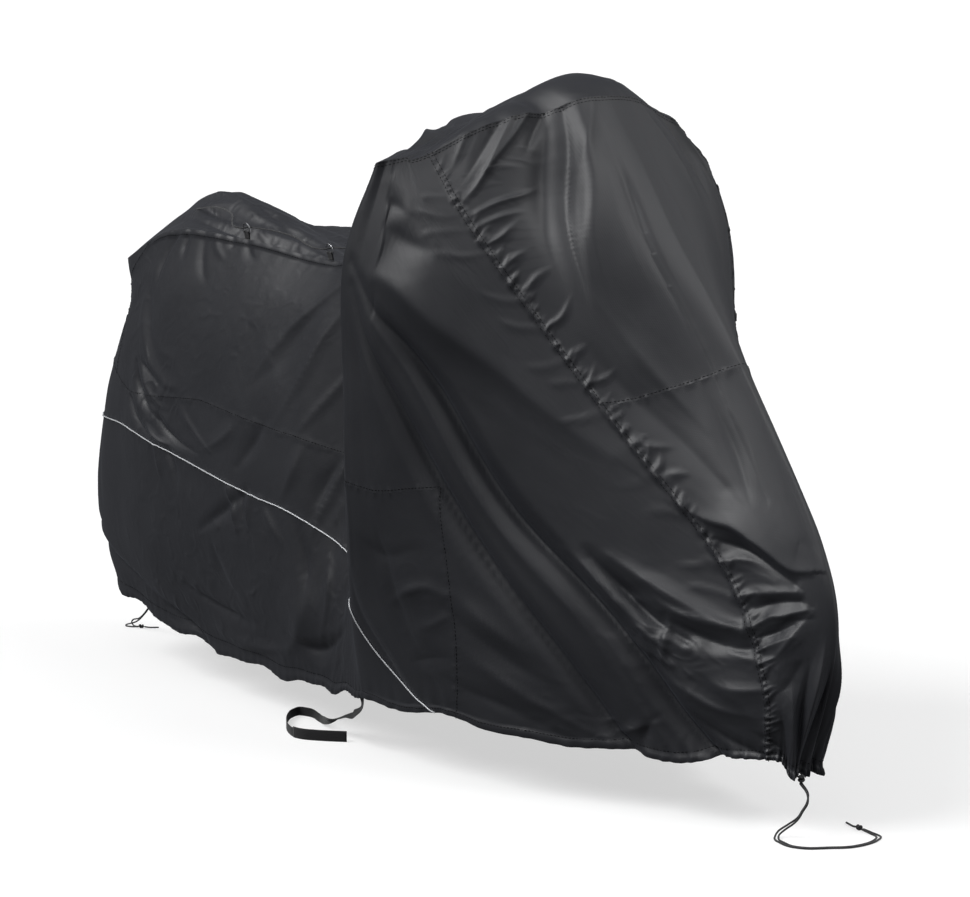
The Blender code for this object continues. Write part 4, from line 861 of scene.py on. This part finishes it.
# The top strip runs up the back, along the seat and over the bars; the cap is the
# small lens of cloth between it and the screen panel.
strip_i = fine_i[first[TAIL + 1]:first[CAP] + 1]
across = np.linspace(-1.0, 1.0, 79)
wide = len(across)
mesh_i, mesh_u = np.meshgrid(strip_i, across, indexing="ij")
strip_places, strip_ways = strip_surface(mesh_i, mesh_u)
LEAD, CAP_ROWS = 12, 24


def rim_row(i, left):
    """Places of the rim at columns i, on the left side where left says so."""
    rows = np.full(len(i), float(TOP))
    return np.where(left[:, None], side_surface("L", i, rows)[0], side_surface("R", i, rows)[0])


back_rim = rim_row(np.abs(across) * TAIL, across >= 0)
rows, ways = [], []
for part in np.arange(LEAD) / LEAD:
    row = back_rim * (1 - part) + strip_places[:wide] * part
    row[:, 2] += 0.01 * math.sin(math.pi * part) * np.cos(math.pi * across / 2) ** 2
    rows.append(row + 0.002 * math.sin(math.pi * part) * swell(row, 0.05, 91)[:, None])
    ways.append(np.stack([np.full(wide, 0.12 + 0.2 * part), across * 0.25, np.full(wide, 0.7)], axis=1))
rows = np.concatenate(rows + [strip_places])
ways = np.concatenate(ways + [strip_ways]) + (20.0, 0.0, 0.0)
panel_mesh["top_strip"] = (rows, ways, grid_faces(len(rows) // wide, wide))

front_i = CAP + (across + 1) / 2 * ACROSS
front_row = rim_row(np.where(front_i > LAST, 2 * LAST - front_i, front_i), front_i > LAST)
rows, ways = [], []
for part in np.arange(CAP_ROWS + 1) / CAP_ROWS:
    row = strip_places[-wide:] * (1 - part) + front_row * part
    row[:, 2] += CAP_RISE * 4 * part * (1 - part) * np.cos(math.pi * across / 2)
    rows.append(row + 0.0016 * swell(row, 0.07, 92)[:, None] * 4 * part * (1 - part))
    ways.append(np.stack([across * 0.35, np.full(wide, 0.12 * part), np.full(wide, 0.2)], axis=1))
panel_mesh["cap"] = (np.concatenate(rows), np.concatenate(ways), grid_faces(CAP_ROWS + 1, wide))

CUT = [
    # panel, flat width and length, flat area, how it is held, what it hangs from or lies beside
    ("front_upper", 0.8, 0.8, 0.41, "draped", ["cap"]),
    ("front_lower", 0.5, 0.9, 0.293, "draped", ["front_upper"]),
    ("side_main_right", 1.75, 1.2, 1.097, "draped", ["top_strip"]),
    ("side_main_left", 1.75, 1.2, 1.076, "draped", ["top_strip"]),
    ("side_band_right", 1.75, 0.38, 0.33, "draped", ["side_main_right"]),
    ("side_band_left", 1.75, 0.38, 0.33, "draped", ["side_main_left"]),
    ("side_low_right", 1.7, 0.5, 0.563, "draped", ["side_band_right"]),
    ("side_low_left", 1.7, 0.5, 0.563, "draped", ["side_band_left"]),
    ("tail", 0.5, 0.45, 0.134, "draped", ["top_strip"]),
    ("top_strip", 0.8, 1.6, 0.765, "draped", ["cap"]),
    ("cap", 0.8, 0.16, 0.087, "stretched", ["top_strip"]),
]


def fit(piece, stands_for):
    """A drawn piece rides with the machine in place of the plain one."""
    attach(piece, "root")
    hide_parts(stands_for)


cloth = {}
for name, wide, long, area, held, beside in CUT:
    cloth[name] = sheet_object(name + "_cloth", *panel_mesh[name])
    cloth[name].data.materials.append(polyester)
    fit(cloth[name], name)

# --------------------------------------------------------------- the stitching
# Lockstitch in black bonded thread about 0.6 mm thick, stitches near 4 mm, both
# drawn coarser so that they show: two rows where a seam is lapped and turned under,
# one row where it is only laid over.
thread, tree, shader = finish("bonded_thread", Base_Color=linear("#0b0b0d"), Roughness=0.85,
                              Specular_IOR_Level=0.15)
STITCH_STEP, THREAD_WIDE, THREAD_LIFT = 0.008, 0.0013, 0.0005


def stitch_tree():
    """Stitches set along a line: one bead of thread at each step, turned to the line."""
    tree = bpy.data.node_groups.new("stitches", "GeometryNodeTree")
    for label, kind in (("Line", "Geometry"), ("Step", "Float"), ("Thread", "Float"),
                        ("Finish", "Material")):
        tree.interface.new_socket(label, in_out="INPUT", socket_type="NodeSocket" + kind)
    tree.interface.new_socket("Sewn", in_out="OUTPUT", socket_type="NodeSocketGeometry")
    into = tree.nodes.new("NodeGroupInput")
    out = tree.nodes.new("NodeGroupOutput")
    spaced = node(tree, "GeometryNodeResampleCurve", {"mode": "LENGTH"}, Curve=into.outputs["Line"],
                  Length=into.outputs["Step"])
    bead = node(tree, "GeometryNodeMeshUVSphere", None, Segments=5, Rings=3, Radius=0.5)
    long = node(tree, "Math", {"operation": "MULTIPLY"}, _0=into.outputs["Step"], _1=0.86)
    size = node(tree, "CombineXYZ", None, X=long.outputs[0], Y=into.outputs["Thread"],
                Z=into.outputs["Thread"])
    heading = node(tree, "GeometryNodeInputTangent")
    turn = node(tree, "FunctionNodeAlignRotationToVector", {"axis": "X"}, Vector=heading.outputs[0])
    placed = node(tree, "GeometryNodeInstanceOnPoints", None, Points=spaced.outputs[0],
                  Instance=bead.outputs["Mesh"], Rotation=turn.outputs[0], Scale=size.outputs[0])
    real = node(tree, "GeometryNodeRealizeInstances", None, Geometry=placed.outputs[0])
    painted = node(tree, "GeometryNodeSetMaterial", None, Geometry=real.outputs[0],
                   Material=into.outputs["Finish"])
    smoothed = node(tree, "GeometryNodeSetShadeSmooth", None, Geometry=painted.outputs[0])
    tree.links.new(smoothed.outputs[0], out.inputs[0])
    return tree


stitches = stitch_tree()
STITCH_INPUTS = {"Step": STITCH_STEP, "Thread": THREAD_WIDE, "Finish": thread}


def sewn(name, lines):
    """Rows of stitching as one plain mesh piece."""
    data = bpy.data.curves.new(name + "_line", "CURVE")
    data.dimensions = "3D"
    for line in lines:
        spline = data.splines.new("POLY")
        spline.points.add(len(line) - 1)
        spline.points.foreach_set("co", np.column_stack([line, np.ones(len(line))]).ravel())
    line = put(name + "_line", data)
    maker = line.modifiers.new("stitches", "NODES")
    maker.node_group = stitches
    for socket in stitches.interface.items_tree:
        if socket.name in STITCH_INPUTS:
            maker[socket.identifier] = STITCH_INPUTS[socket.name]
    graph = bpy.context.evaluated_depsgraph_get()
    mesh = bpy.data.meshes.new_from_object(line.evaluated_get(graph))
    piece = put(name, mesh)
    bpy.data.objects.remove(line)
    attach(piece, "root")


def seam_line(side, columns, rows, shift_i, shift_j):
    """A stitch line on the hung cloth beside a seam, lifted by half the thread."""
    i, j = seam_places(columns, rows, 240)
    i = np.clip(i + shift_i, 0, LAST)
    j = np.clip(j + shift_j, 0, TOP)
    places, normals, ways = side_surface(side, i, j)
    return places + tilted(normals) * THREAD_LIFT


STITCHED = [
    # name, columns from and to, rows from and to, shifts in columns and rows of each line
    ("long_front", (PRIN, PRIN), (TOP, 0), (-0.1, 0), (0.12, 0)),
    ("screen_cross", (PRIN, LAST), (MID, MID), (0, 0.07)),
    ("top_edge", (BAR, LAST), (TOP, TOP), (0, -0.05), (0, -0.16)),
    ("level_rear", (0, BAND), (MID, MID), (0, 0.07)),
    ("tail_edge", (TAIL, TAIL), (TOP, MID), (0.06, 0)),
    ("band_edge", (BAND, BAND), (MID, 0), (0.05, 0)),
    ("hem", (0.1, LAST), (0, 0), (0, 0.4)),
    ("rear_lip", (2.6, 14.6), (TOP, TOP), (0, -0.34)),
]
for name, columns, rows, *shifts in STITCHED:
    sewn("stitches_" + name, [seam_line(side, columns, rows, *shift) for side in "RL" for shift in shifts])

# ------------------------------------------------------------------ the piping
# A cord of 3 mm wrapped in silvery reflective tape and sewn into the two long
# seams, so that it stands just proud of the cloth.
PIPING_R = 0.0015


def even_points(route, spacing, start=(0.0, 0.0, 0.0)):
    """Evenly spaced points on a smooth curve through a route, which is counted from start."""
    route = np.array(route) - start
    stops = run_along(route)
    fine = through(route, stops, np.linspace(0, stops[-1], 12 * len(route)))
    run = run_along(fine)
    count = max(int(round(run[-1] / spacing)), 3)
    return np.stack([np.interp(np.linspace(0, run[-1], count + 1), run, fine[:, axis])
                     for axis in range(3)], axis=1)


def solid(name, work, material):
    """One closed piece of the faces in work, turned outwards."""
    bmesh.ops.recalc_face_normals(work, faces=work.faces)
    if work.calc_volume(signed=True) < 0:
        bmesh.ops.reverse_faces(work, faces=work.faces)
    mesh = bpy.data.meshes.new(name)
    work.to_mesh(mesh)
    work.free()
    mesh.materials.append(material)
    return put(name, mesh)


def tube(name, line, radius, material, sides=8):
    """A round cord along a line, rounded at its ends, with its length and girth laid out."""
    sizes = np.broadcast_to(np.asarray(radius, float), len(line))
    sizes = np.concatenate([sizes[:1] * 0.55, sizes, sizes[-1:] * 0.55])
    line = np.concatenate([line[:1], line, line[-1:]])
    head, tail = line[1] - line[2], line[-2] - line[-3]
    line[0] = line[1] + head / np.linalg.norm(head) * sizes[1] * 0.7
    line[-1] = line[-2] + tail / np.linalg.norm(tail) * sizes[-2] * 0.7
    ahead = np.roll(line, -1, axis=0) - np.roll(line, 1, axis=0)
    ahead[0], ahead[-1] = line[1] - line[0], line[-1] - line[-2]
    ahead /= np.linalg.norm(ahead, axis=1)[:, None]
    out = np.cross(ahead[0], (0.31, 0.17, 0.93))
    work = bmesh.new()
    layer = work.loops.layers.uv.new("lay")
    rings = []
    run = run_along(line)
    turns = 2 * math.pi * np.arange(sides) / sides
    for place, way, size in zip(line, ahead, sizes):
        out = out - way * (out @ way)
        out /= np.linalg.norm(out)
        side = np.cross(way, out)
        rings.append([work.verts.new(place + (out * math.cos(turn) + side * math.sin(turn)) * size)
                      for turn in turns])
    for k in range(len(rings) - 1):
        here, there = rings[k], rings[k + 1]
        for n in range(sides):
            m = (n + 1) % sides
            face = work.faces.new((here[n], here[m], there[m], there[n]))
            for loop, (u, v) in zip(face.loops, ((n, k), (n + 1, k), (n + 1, k + 1), (n, k + 1))):
                loop[layer].uv = (u / sides, run[v])
    for ring, place, way in ((rings[0], line[0], -ahead[0]), (rings[-1], line[-1], ahead[-1])):
        end = work.verts.new(place + way * 0.3 * sizes[0])
        for n in range(sides):
            work.faces.new((ring[n], ring[(n + 1) % sides], end))
    for face in work.faces:
        face.smooth = True
    return solid(name, work, material)


# Reflective tape: glass beads under a clear film on silver backing, satin and pale.
reflective, tree, shader = finish("reflective_tape", Base_Color=linear("#c9cbce"), Roughness=0.42,
                                  Metallic=0.15)
laid = node(tree, "UVMap", {"uv_map": "lay"})
beads = node(tree, "TexVoronoi", {"voronoi_dimensions": "2D"}, Vector=laid.outputs["UV"],
             Scale=900.0)
bump = node(tree, "Bump", Strength=0.25, Distance=0.0002, Height=beads.outputs["Distance"])
tree.links.new(bump.outputs["Normal"], shader.inputs["Normal"])
for side, tag in (("R", "right"), ("L", "left")):
    i = np.concatenate([np.linspace(0.02, BAR, 220), np.linspace(BAR, BAR + LOW - 0.05, 60)[1:]])
    j = np.concatenate([np.full(220, float(LOW)), np.linspace(LOW, 0.05, 60)[1:]])
    places, normals, ways = side_surface(side, i, j)
    out = tilted(normals)
    proud = places + out * (PIPING_R + SHEET)
    raised = proud.copy()
    for even_out in range(30):
        raised[1:-1] = (raised[:-2] + raised[1:-1] + raised[2:]) / 3
    sunk = np.einsum("ij,ij->i", proud - raised, out)
    raised += out * np.maximum(sunk, 0)[:, None]
    bead = tube("piping_tape_" + tag, raised, PIPING_R, reflective)
    fit(bead, "piping_" + tag)

# ---------------------------------------------------- the D-rings on their tabs
# Four welded rings of 3.2 mm chromed steel wire, each held in a folded tab of
# 18 mm polypropylene webbing sewn into the rim beside the seat.
# Chromed steel: bright and nearly colourless, with a fine haze from handling.
chrome, tree, shader = finish("chromed_wire", Base_Color=linear("#b9babd"), Metallic=1.0)
spot = node(tree, "TexCoord")
haze = node(tree, "TexNoise", None, Vector=spot.outputs["Object"], Scale=420.0, Detail=3.0)
dull = node(tree, "MapRange", Value=haze.outputs["Fac"], _3=0.16, _4=0.34)
tree.links.new(dull.outputs["Result"], shader.inputs["Roughness"])
# Polypropylene webbing: flat woven tape with lengthwise ribs 1.6 mm apart and a dry, dull face.
webbing, tree, shader = finish("woven_webbing", Roughness=0.62, Sheen_Weight=0.25)
laid = node(tree, "UVMap", {"uv_map": "lay"})
ribs = node(tree, "TexWave", {"bands_direction": "X"}, Vector=laid.outputs["UV"],
            Scale=1 / 0.0016 / 6.2832, Distortion=0.0)
picks = node(tree, "TexWave", {"bands_direction": "Y"}, Vector=laid.outputs["UV"],
             Scale=1 / 0.0011 / 6.2832, Distortion=0.8)
both = node(tree, "Math", {"operation": "MULTIPLY"}, _0=ribs.outputs["Fac"], _1=picks.outputs["Fac"])
dye = node(tree, "Mix", {"data_type": "RGBA"}, Factor=both.outputs["Value"],
           A=linear("#0c0c0e"), B=linear("#1d1d20"))
tree.links.new(dye.outputs["Result"], shader.inputs["Base Color"])
bump = node(tree, "Bump", Strength=0.6, Distance=0.0004, Height=both.outputs["Value"])
tree.links.new(bump.outputs["Normal"], shader.inputs["Normal"])


def tape(name, line, wides, thick, material):
    """Flat webbing along a line: rounded edges, closed, with width and length laid out."""
    half = [(-0.5, 0.0), (-0.485, 0.35), (-0.44, 0.5), (-0.2, 0.5), (0.2, 0.5), (0.44, 0.5),
            (0.485, 0.35)]
    profile = half + [(-x, -z) for x, z in half]
    run = run_along(line)
    work = bmesh.new()
    layer = work.loops.layers.uv.new("lay")
    rings = []
    for k in range(len(line)):
        ahead = line[min(k + 1, len(line) - 1)] - line[max(k - 1, 0)]
        face = np.cross(ahead, wides[k])
        face = face / np.linalg.norm(face) * thick
        rings.append([work.verts.new(line[k] + wides[k] * x + face * z) for x, z in profile])
    count = len(profile)
    size = np.linalg.norm(wides[0])
    for k in range(len(line) - 1):
        for n in range(count):
            m = (n + 1) % count
            face = work.faces.new((rings[k][n], rings[k][m], rings[k + 1][m], rings[k + 1][n]))
            face.smooth = True
            for loop, (a, v) in zip(face.loops, ((n, k), (m, k), (m, k + 1), (n, k + 1))):
                loop[layer].uv = (profile[a][0] * size, run[v])
    work.faces.new(rings[0][::-1])
    work.faces.new(rings[-1])
    return solid(name, work, material)


RINGS = [
    # tag, number, middle of the ring, along the rim, up the tab
    ("right", 1, (-0.8286, -0.2381, -0.3574), (0.999, 0.001, -0.05), (0.049, -0.178, 0.983)),
    ("right", 2, (-0.5347, -0.2355, -0.3788), (0.996, -0.077, 0.037), (-0.05, -0.172, 0.984)),
    ("left", 1, (-0.8286, 0.2016, -0.3796), (0.999, -0.011, -0.05), (0.052, 0.195, 0.979)),
    ("left", 2, (-0.5341, 0.198, -0.4009), (0.998, 0.067, 0.011), (-0.027, 0.237, 0.971)),
]
TAB_WIDE, TAB_THICK, TAB_HIGH, WIRE_R = 0.018, 0.0012, 0.016, 0.0016
for tag, number, middle, along, up in RINGS:
    along, up = np.array(along), np.array(up)
    out = np.cross(along, up)
    base = np.array(middle) - up * (0.01 + TAB_HIGH)
    loop_r = WIRE_R + 0.00035 + TAB_THICK / 2
    bends = [(-0.0009, 0.0), (-0.0009, 0.004), (-0.0009, 0.008), (-0.0009, TAB_HIGH - 0.0045),
             (-loop_r, TAB_HIGH - 0.0006)]
    bends += [(-loop_r * math.cos(a), TAB_HIGH + loop_r * math.sin(a)) for a in np.linspace(0.4, 2.74, 9)]
    bends += [(-x, z) for x, z in bends[4::-1]]
    tab = tape("tab_%s_%d" % (tag, number), [base + out * x + up * z for x, z in bends],
               [along * TAB_WIDE] * len(bends), TAB_THICK, webbing)
    fit(tab, "ring_tab_%s_%d" % (tag, number))
    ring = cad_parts["d_ring_%s_%d" % (tag, number)]
    for place in ring.material_slots:
        place.material = chrome

# ------------------------------------------------- the elastic lacing by the seat
# A 3.2 mm elastic cord with a braided cover, drawn through the two right rings
# from the back of the seat to the foot of the screen; it pulls the rim inwards.
braid, tree, shader = finish("braided_polyester_cord", Roughness=0.66, Sheen_Weight=0.3)
laid = node(tree, "UVMap", {"uv_map": "lay"})
# Braided polyester: the cover's strands cross at a low slant about 1.5 mm apart.
split = node(tree, "SeparateXYZ", None, Vector=laid.outputs["UV"])
waves = []
for sign in (1, -1):
    turn = node(tree, "Math", {"operation": "MULTIPLY"}, _0=split.outputs["X"],
                _1=sign * 2 * math.pi * 3)
    step = node(tree, "Math", {"operation": "MULTIPLY_ADD"}, _0=split.outputs["Y"],
                _1=2 * math.pi / 0.003, _2=turn.outputs[0])
    waves.append(node(tree, "Math", {"operation": "SINE"}, _0=step.outputs[0]))
cross = node(tree, "Math", {"operation": "MAXIMUM"}, _0=waves[0].outputs[0], _1=waves[1].outputs[0])
tone = node(tree, "MapRange", Value=cross.outputs[0], _1=-1.0, _2=1.0, _3=0.0, _4=1.0)
dye = node(tree, "Mix", {"data_type": "RGBA"}, Factor=tone.outputs[0],
           A=linear("#08080a"), B=linear("#1b1b1e"))
tree.links.new(dye.outputs["Result"], shader.inputs["Base Color"])
bump = node(tree, "Bump", Strength=0.7, Distance=0.0005, Height=tone.outputs[0])
tree.links.new(bump.outputs["Normal"], shader.inputs["Normal"])
LACE_R = 0.0016
LACE = [
    (-1.334, -0.0275, -0.3691), (-1.29, -0.0575, -0.3636), (-0.9285, -0.2032, -0.3404),
    (-0.8527, -0.247, -0.3578), (-0.8297, -0.2426, -0.3581), (-0.8276, -0.2337, -0.3566),
    (-0.8046, -0.2292, -0.357), (-0.6817, -0.2248, -0.3641), (-0.5593, -0.2424, -0.3813),
    (-0.536, -0.2398, -0.3796), (-0.5334, -0.2311, -0.378), (-0.5102, -0.2285, -0.3764),
    (-0.4285, -0.181, -0.3792), (-0.3542, -0.2243, -0.3308), (-0.2817, -0.287, -0.277)]
fit(tube("lacing_cord", even_points(LACE, 0.006), LACE_R, braid), "lacing_right")

# --------------------------------------------------------------- the belly strap
# 20 mm polypropylene webbing sewn inside the right hem; it falls to the ground,
# turns back on itself and ends in a stiffer doubled end that stands on its edge.
STRAP_WIDE = 0.02
STRAP = [
    # place from the mount, then the direction of its width
    ((-0.2941, -0.346, -1.283), (0.964, -0.22, 0.147)),
    ((-0.2959, -0.3435, -1.2925), (0.964, -0.22, 0.147)),
    ((-0.2983, -0.3401, -1.3059), (0.889, -0.414, 0.193)),
    ((-0.35, -0.322, -1.3442), (0.902, -0.421, 0.1)),
    ((-0.386, -0.309, -1.3562), (0.804, -0.583, 0.121)),
    ((-0.424, -0.301, -1.3702), (0.77, -0.62, 0.15)),
    ((-0.465, -0.293, -1.3842), (0.699, -0.579, 0.419)),
    ((-0.515, -0.277, -1.3977), (0.402, -0.331, 0.854)),
    ((-0.555, -0.259, -1.4027), (0.05, -0.04, 0.998)),
    ((-0.605, -0.247, -1.4035), (0, 0, 1)),
    ((-0.628, -0.257, -1.4035), (0, 0, 1)),
    ((-0.622, -0.281, -1.4035), (0, 0, 1)),
    ((-0.597, -0.312, -1.4035), (0, 0, 1)),
    ((-0.568, -0.337, -1.4035), (0, 0, 1)),
    ((-0.525, -0.364, -1.4035), (0, 0, 1)),
    ((-0.49, -0.375, -1.4035), (0, 0, 1)),
    ((-0.468, -0.372, -1.4035), (0, 0, 1)),
]
route = np.array([row[0] for row in STRAP])
stops = run_along(route)
reads = np.linspace(0, stops[-1], 140)
strap_line = through(route, stops, reads)
strap_wide = through([row[1] for row in STRAP], stops, reads)
heading = np.gradient(strap_line, axis=0)
heading /= np.linalg.norm(heading, axis=1)[:, None]
strap_wide -= heading * np.einsum("ij,ij->i", strap_wide, heading)[:, None]
strap_wide *= STRAP_WIDE / np.linalg.norm(strap_wide, axis=1)[:, None]
strap = tape("belly_strap_webbing", strap_line, strap_wide, 0.0014, webbing)
END = [(-0.19, -0.3062), (-0.18, -0.306), (-0.16, -0.301), (-0.14, -0.289),
       (-0.112, -0.268), (-0.084, -0.244)]
end_line = even_points([(x, y, 0.0126) for x, y in END], 0.004, MOUNT)
strap_end = tape("strap_end_webbing", end_line, [np.array([0, 0, 0.024])] * len(end_line), 0.0018, webbing)


fit(strap, "belly_strap")
fit(strap_end, "strap_end")

# ------------------------------------------------------------ the front drawcord
# One 4 mm braided cord runs in the hem; its two ends come out at the nose through
# a tight knot, fall to the ground together and are tied in a second knot.
KNOT_TURNS = 3.2
FRONT_R = 0.002
FRONT_A = [
    # places, with their height above the ground
    (1.0279, -0.0108, 0.1071), (1.044, -0.01, 0.09), (1.05, -0.019, 0.075),
    (1.043, -0.024, 0.059), (1.03, -0.023, 0.042), (1.012, -0.03, 0.026),
    (0.999, -0.044, 0.012), (1.005, -0.059, 0.0034), (1.03, -0.071, 0.0026),
    (1.06, -0.075, 0.0025), (1.088, -0.063, 0.0025), (1.117, -0.025, 0.0025),
    (1.139, 0.008, 0.0025), (1.146, 0.044, 0.0025), (1.141, 0.08, 0.0025),
    (1.129, 0.103, 0.0025), (1.1, 0.1105, 0.0025), (1.0765, 0.1105, 0.0045)]
FRONT_B = [
    (1.0279, -0.0154, 0.1071), (1.047, -0.015, 0.09), (1.0545, -0.022, 0.075),
    (1.048, -0.028, 0.059), (1.037, -0.027, 0.043), (1.023, -0.027, 0.029),
    (1.0105, -0.037, 0.0165), (1.0075, -0.0495, 0.008), (1.018, -0.06, 0.003),
    (1.036, -0.065, 0.0026), (1.06, -0.069, 0.0025), (1.0855, -0.058, 0.0025),
    (1.113, -0.022, 0.0025), (1.134, 0.01, 0.0025), (1.1405, 0.044, 0.0025),
    (1.1355, 0.077, 0.0025), (1.123, 0.097, 0.0025), (1.099, 0.1045, 0.0025),
    (1.0765, 0.106, 0.0048)]


def tied_knot(name, centre, along, across, long, girth, cord_r, material):
    """A tied knot: three close turns of the cord around the two strands, ends tucked in."""
    centre, along, across = (np.array(v, float) for v in (centre, along, across))
    along /= np.linalg.norm(along)
    across -= along * (across @ along)
    across /= np.linalg.norm(across)
    third = np.cross(along, across)
    line = []
    for part in np.linspace(0, 1, 90):
        angle = 2 * math.pi * KNOT_TURNS * part
        wide = (girth / 2 - cord_r) * (0.62 + 0.38 * math.sin(math.pi * part))
        slide = (part - 0.5) * (long - 2 * cord_r) + 0.1 * long * math.sin(2 * math.pi * part * 2)
        line.append(centre + along * slide + (across * math.cos(angle) + third * math.sin(angle)) * wide)
    wrap = tube(name, line, cord_r, material)
    core = tube(name + "_core", [centre + along * long * x for x in np.linspace(-0.46, 0.46, 9)],
                [girth * 0.22 * (1 - 0.5 * abs(x) ** 2) for x in np.linspace(-1, 1, 9)], material, sides=10)
    work = bmesh.new()
    work.from_mesh(wrap.data)
    work.from_mesh(core.data)
    work.to_mesh(wrap.data)
    work.free()
    bpy.data.objects.remove(core)
    return wrap


front_knot = tied_knot("front_tie", (0.7295, -0.0852, -1.2963), (-0.15, 0.1, -1.0), (1, 0, 0),
                       0.018, 0.015, 0.0019, braid)
strand_a = even_points(FRONT_A, 0.004, MOUNT)
strand_b = even_points(FRONT_B, 0.004, MOUNT)
front_a = tube("front_cord_a", strand_a, FRONT_R, braid)
front_b = tube("front_cord_b", strand_b, FRONT_R, braid)
front_end = tied_knot("front_end_tie", np.array((1.0675, 0.108, 0.0062)) - MOUNT, (-1, 0.05, 0),
                      (0, 0, 1), 0.0175, 0.0115, 0.0017, braid)
front_tail_line = even_points([(1.0581, 0.1092, 0.0052), (1.048, 0.1125, 0.0035),
                               (1.035, 0.118, 0.0025), (1.02, 0.123, 0.0025)], 0.003, MOUNT)
front_tail = tube("front_cord_tail", front_tail_line, FRONT_R, braid)
for piece, stands_for in ((front_knot, "front_knot"), (front_a, "front_strand_a"),
                          (front_b, "front_strand_b"), (front_end, "front_end_knot"),
                          (front_tail, "front_tail")):
    fit(piece, stands_for)

# ------------------------------------------------------------- the rear drawcord
# The same braided cord, 3.6 mm here: its two ends come out in the middle of the
# back hem, hang to the ground and are tied together there.
REAR_R = 0.0018
REAR_A = [
    # places, with their height above the ground
    (-1.12, 0.0107, 0.1686), (-1.135, 0.008, 0.13), (-1.165, 0.011, 0.094),
    (-1.2, 0.015, 0.064), (-1.234, 0.022, 0.04),
    (-1.27, 0.029, 0.0185), (-1.299, 0.032, 0.0065), (-1.3105, 0.024, 0.0027),
    (-1.302, 0.014, 0.0021), (-1.285, 0.016, 0.0023), (-1.2648, 0.025, 0.0044)]
REAR_B = [
    (-1.12, 0.0067, 0.1686), (-1.135, 0.003, 0.13), (-1.165, 0.004, 0.092),
    (-1.198, 0.006, 0.06),
    (-1.23, 0.012, 0.038), (-1.25, 0.0165, 0.0285), (-1.269, 0.0205, 0.0235),
    (-1.284, 0.0228, 0.018), (-1.2912, 0.0242, 0.0108), (-1.2872, 0.0256, 0.0045),
    (-1.2775, 0.027, 0.0023), (-1.2672, 0.0284, 0.004)]
rear_line_a = even_points(REAR_A, 0.004, MOUNT)
rear_line_b = even_points(REAR_B, 0.004, MOUNT)
rear_a = tube("rear_cord_a", rear_line_a, REAR_R, braid)
rear_b = tube("rear_cord_b", rear_line_b, REAR_R, braid)
rear_end = tied_knot("rear_end_tie", np.array((-1.2585, 0.031, 0.0056)) - MOUNT, (1, 0.5, 0),
                     (0, 0, 1), 0.016, 0.0105, 0.0015, braid)
rear_tail_line = even_points([(-1.2503, 0.0353, 0.005), (-1.245, 0.045, 0.003),
                              (-1.24, 0.055, 0.0022), (-1.234, 0.064, 0.0021)], 0.003, MOUNT)
rear_tail = tube("rear_cord_tail", rear_tail_line, REAR_R, braid)
for piece, stands_for in ((rear_a, "rear_strand_a"), (rear_b, "rear_strand_b"),
                          (rear_end, "rear_end_knot"), (rear_tail, "rear_tail")):
    fit(piece, stands_for)

# ------------------------------------------------------------ the floor and light
# A plain pale studio: a white floor inside a white dome, three high soft lights that
# rake down the cloth from the front, above and the right, and a weak one on the left.
floor_z = -float(MOUNT[2])
reach = 60.0
corners = [(x * reach, y * reach, floor_z) for x, y in ((-1, -1), (1, -1), (1, 1), (-1, 1))]
mesh = bpy.data.meshes.new("studio_floor")
mesh.from_pydata(corners, [], [(0, 1, 2, 3)])
floor = put("studio_floor", mesh)
# Matt white studio paper, lit well enough to leave only a faint shadow.
paper, tree, shader = finish("matt_studio_paper", Base_Color=(0.42, 0.42, 0.42, 1.0), Roughness=1.0,
                             Specular_IOR_Level=0.0, Emission_Color=(1.0, 1.0, 1.0, 1.0),
                             Emission_Strength=0.6)
mesh.materials.append(paper)
work = bmesh.new()
bmesh.ops.create_uvsphere(work, u_segments=48, v_segments=24, radius=58.0)
dome_mesh = bpy.data.meshes.new("studio_dome")
bmesh.ops.reverse_faces(work, faces=work.faces)
work.to_mesh(dome_mesh)
work.free()
dome = put("studio_dome", dome_mesh)
glow, tree, shader = finish("lit_studio_wall", Base_Color=(0.0, 0.0, 0.0, 1.0),
                            Specular_IOR_Level=0.0, Emission_Color=(1.0, 1.0, 1.0, 1.0),
                            Emission_Strength=0.913)
dome_mesh.materials.append(glow)
for stage in (floor, dome):
    stage.visible_diffuse = False
    stage.visible_glossy = False
dome.visible_shadow = False

world = bpy.data.worlds.new("studio")
world.use_nodes = True
sky = world.node_tree.nodes["Background"]
sky.inputs["Color"].default_value = (0.95, 0.96, 1.0, 1.0)
sky.inputs["Strength"].default_value = 0.11
bpy.context.scene.world = world
bpy.context.scene.view_settings.view_transform = "Standard"
SUNS = [
    # name, turn around and height of where it shines from, strength, softness
    ("key", 112, 52, 1.1, 30),
    ("side", -20, 46, 2.6, 34),
    ("above", 30, 66, 0.55, 44),
    ("far", 165, 24, 0.45, 50),
]
for name, turn, height, strength, soft in SUNS:
    lamp = bpy.data.lights.new(name, "SUN")
    lamp.energy = strength
    lamp.angle = math.radians(soft)
    put(name, lamp).rotation_euler = (math.radians(90 - height), 0, math.radians(turn))
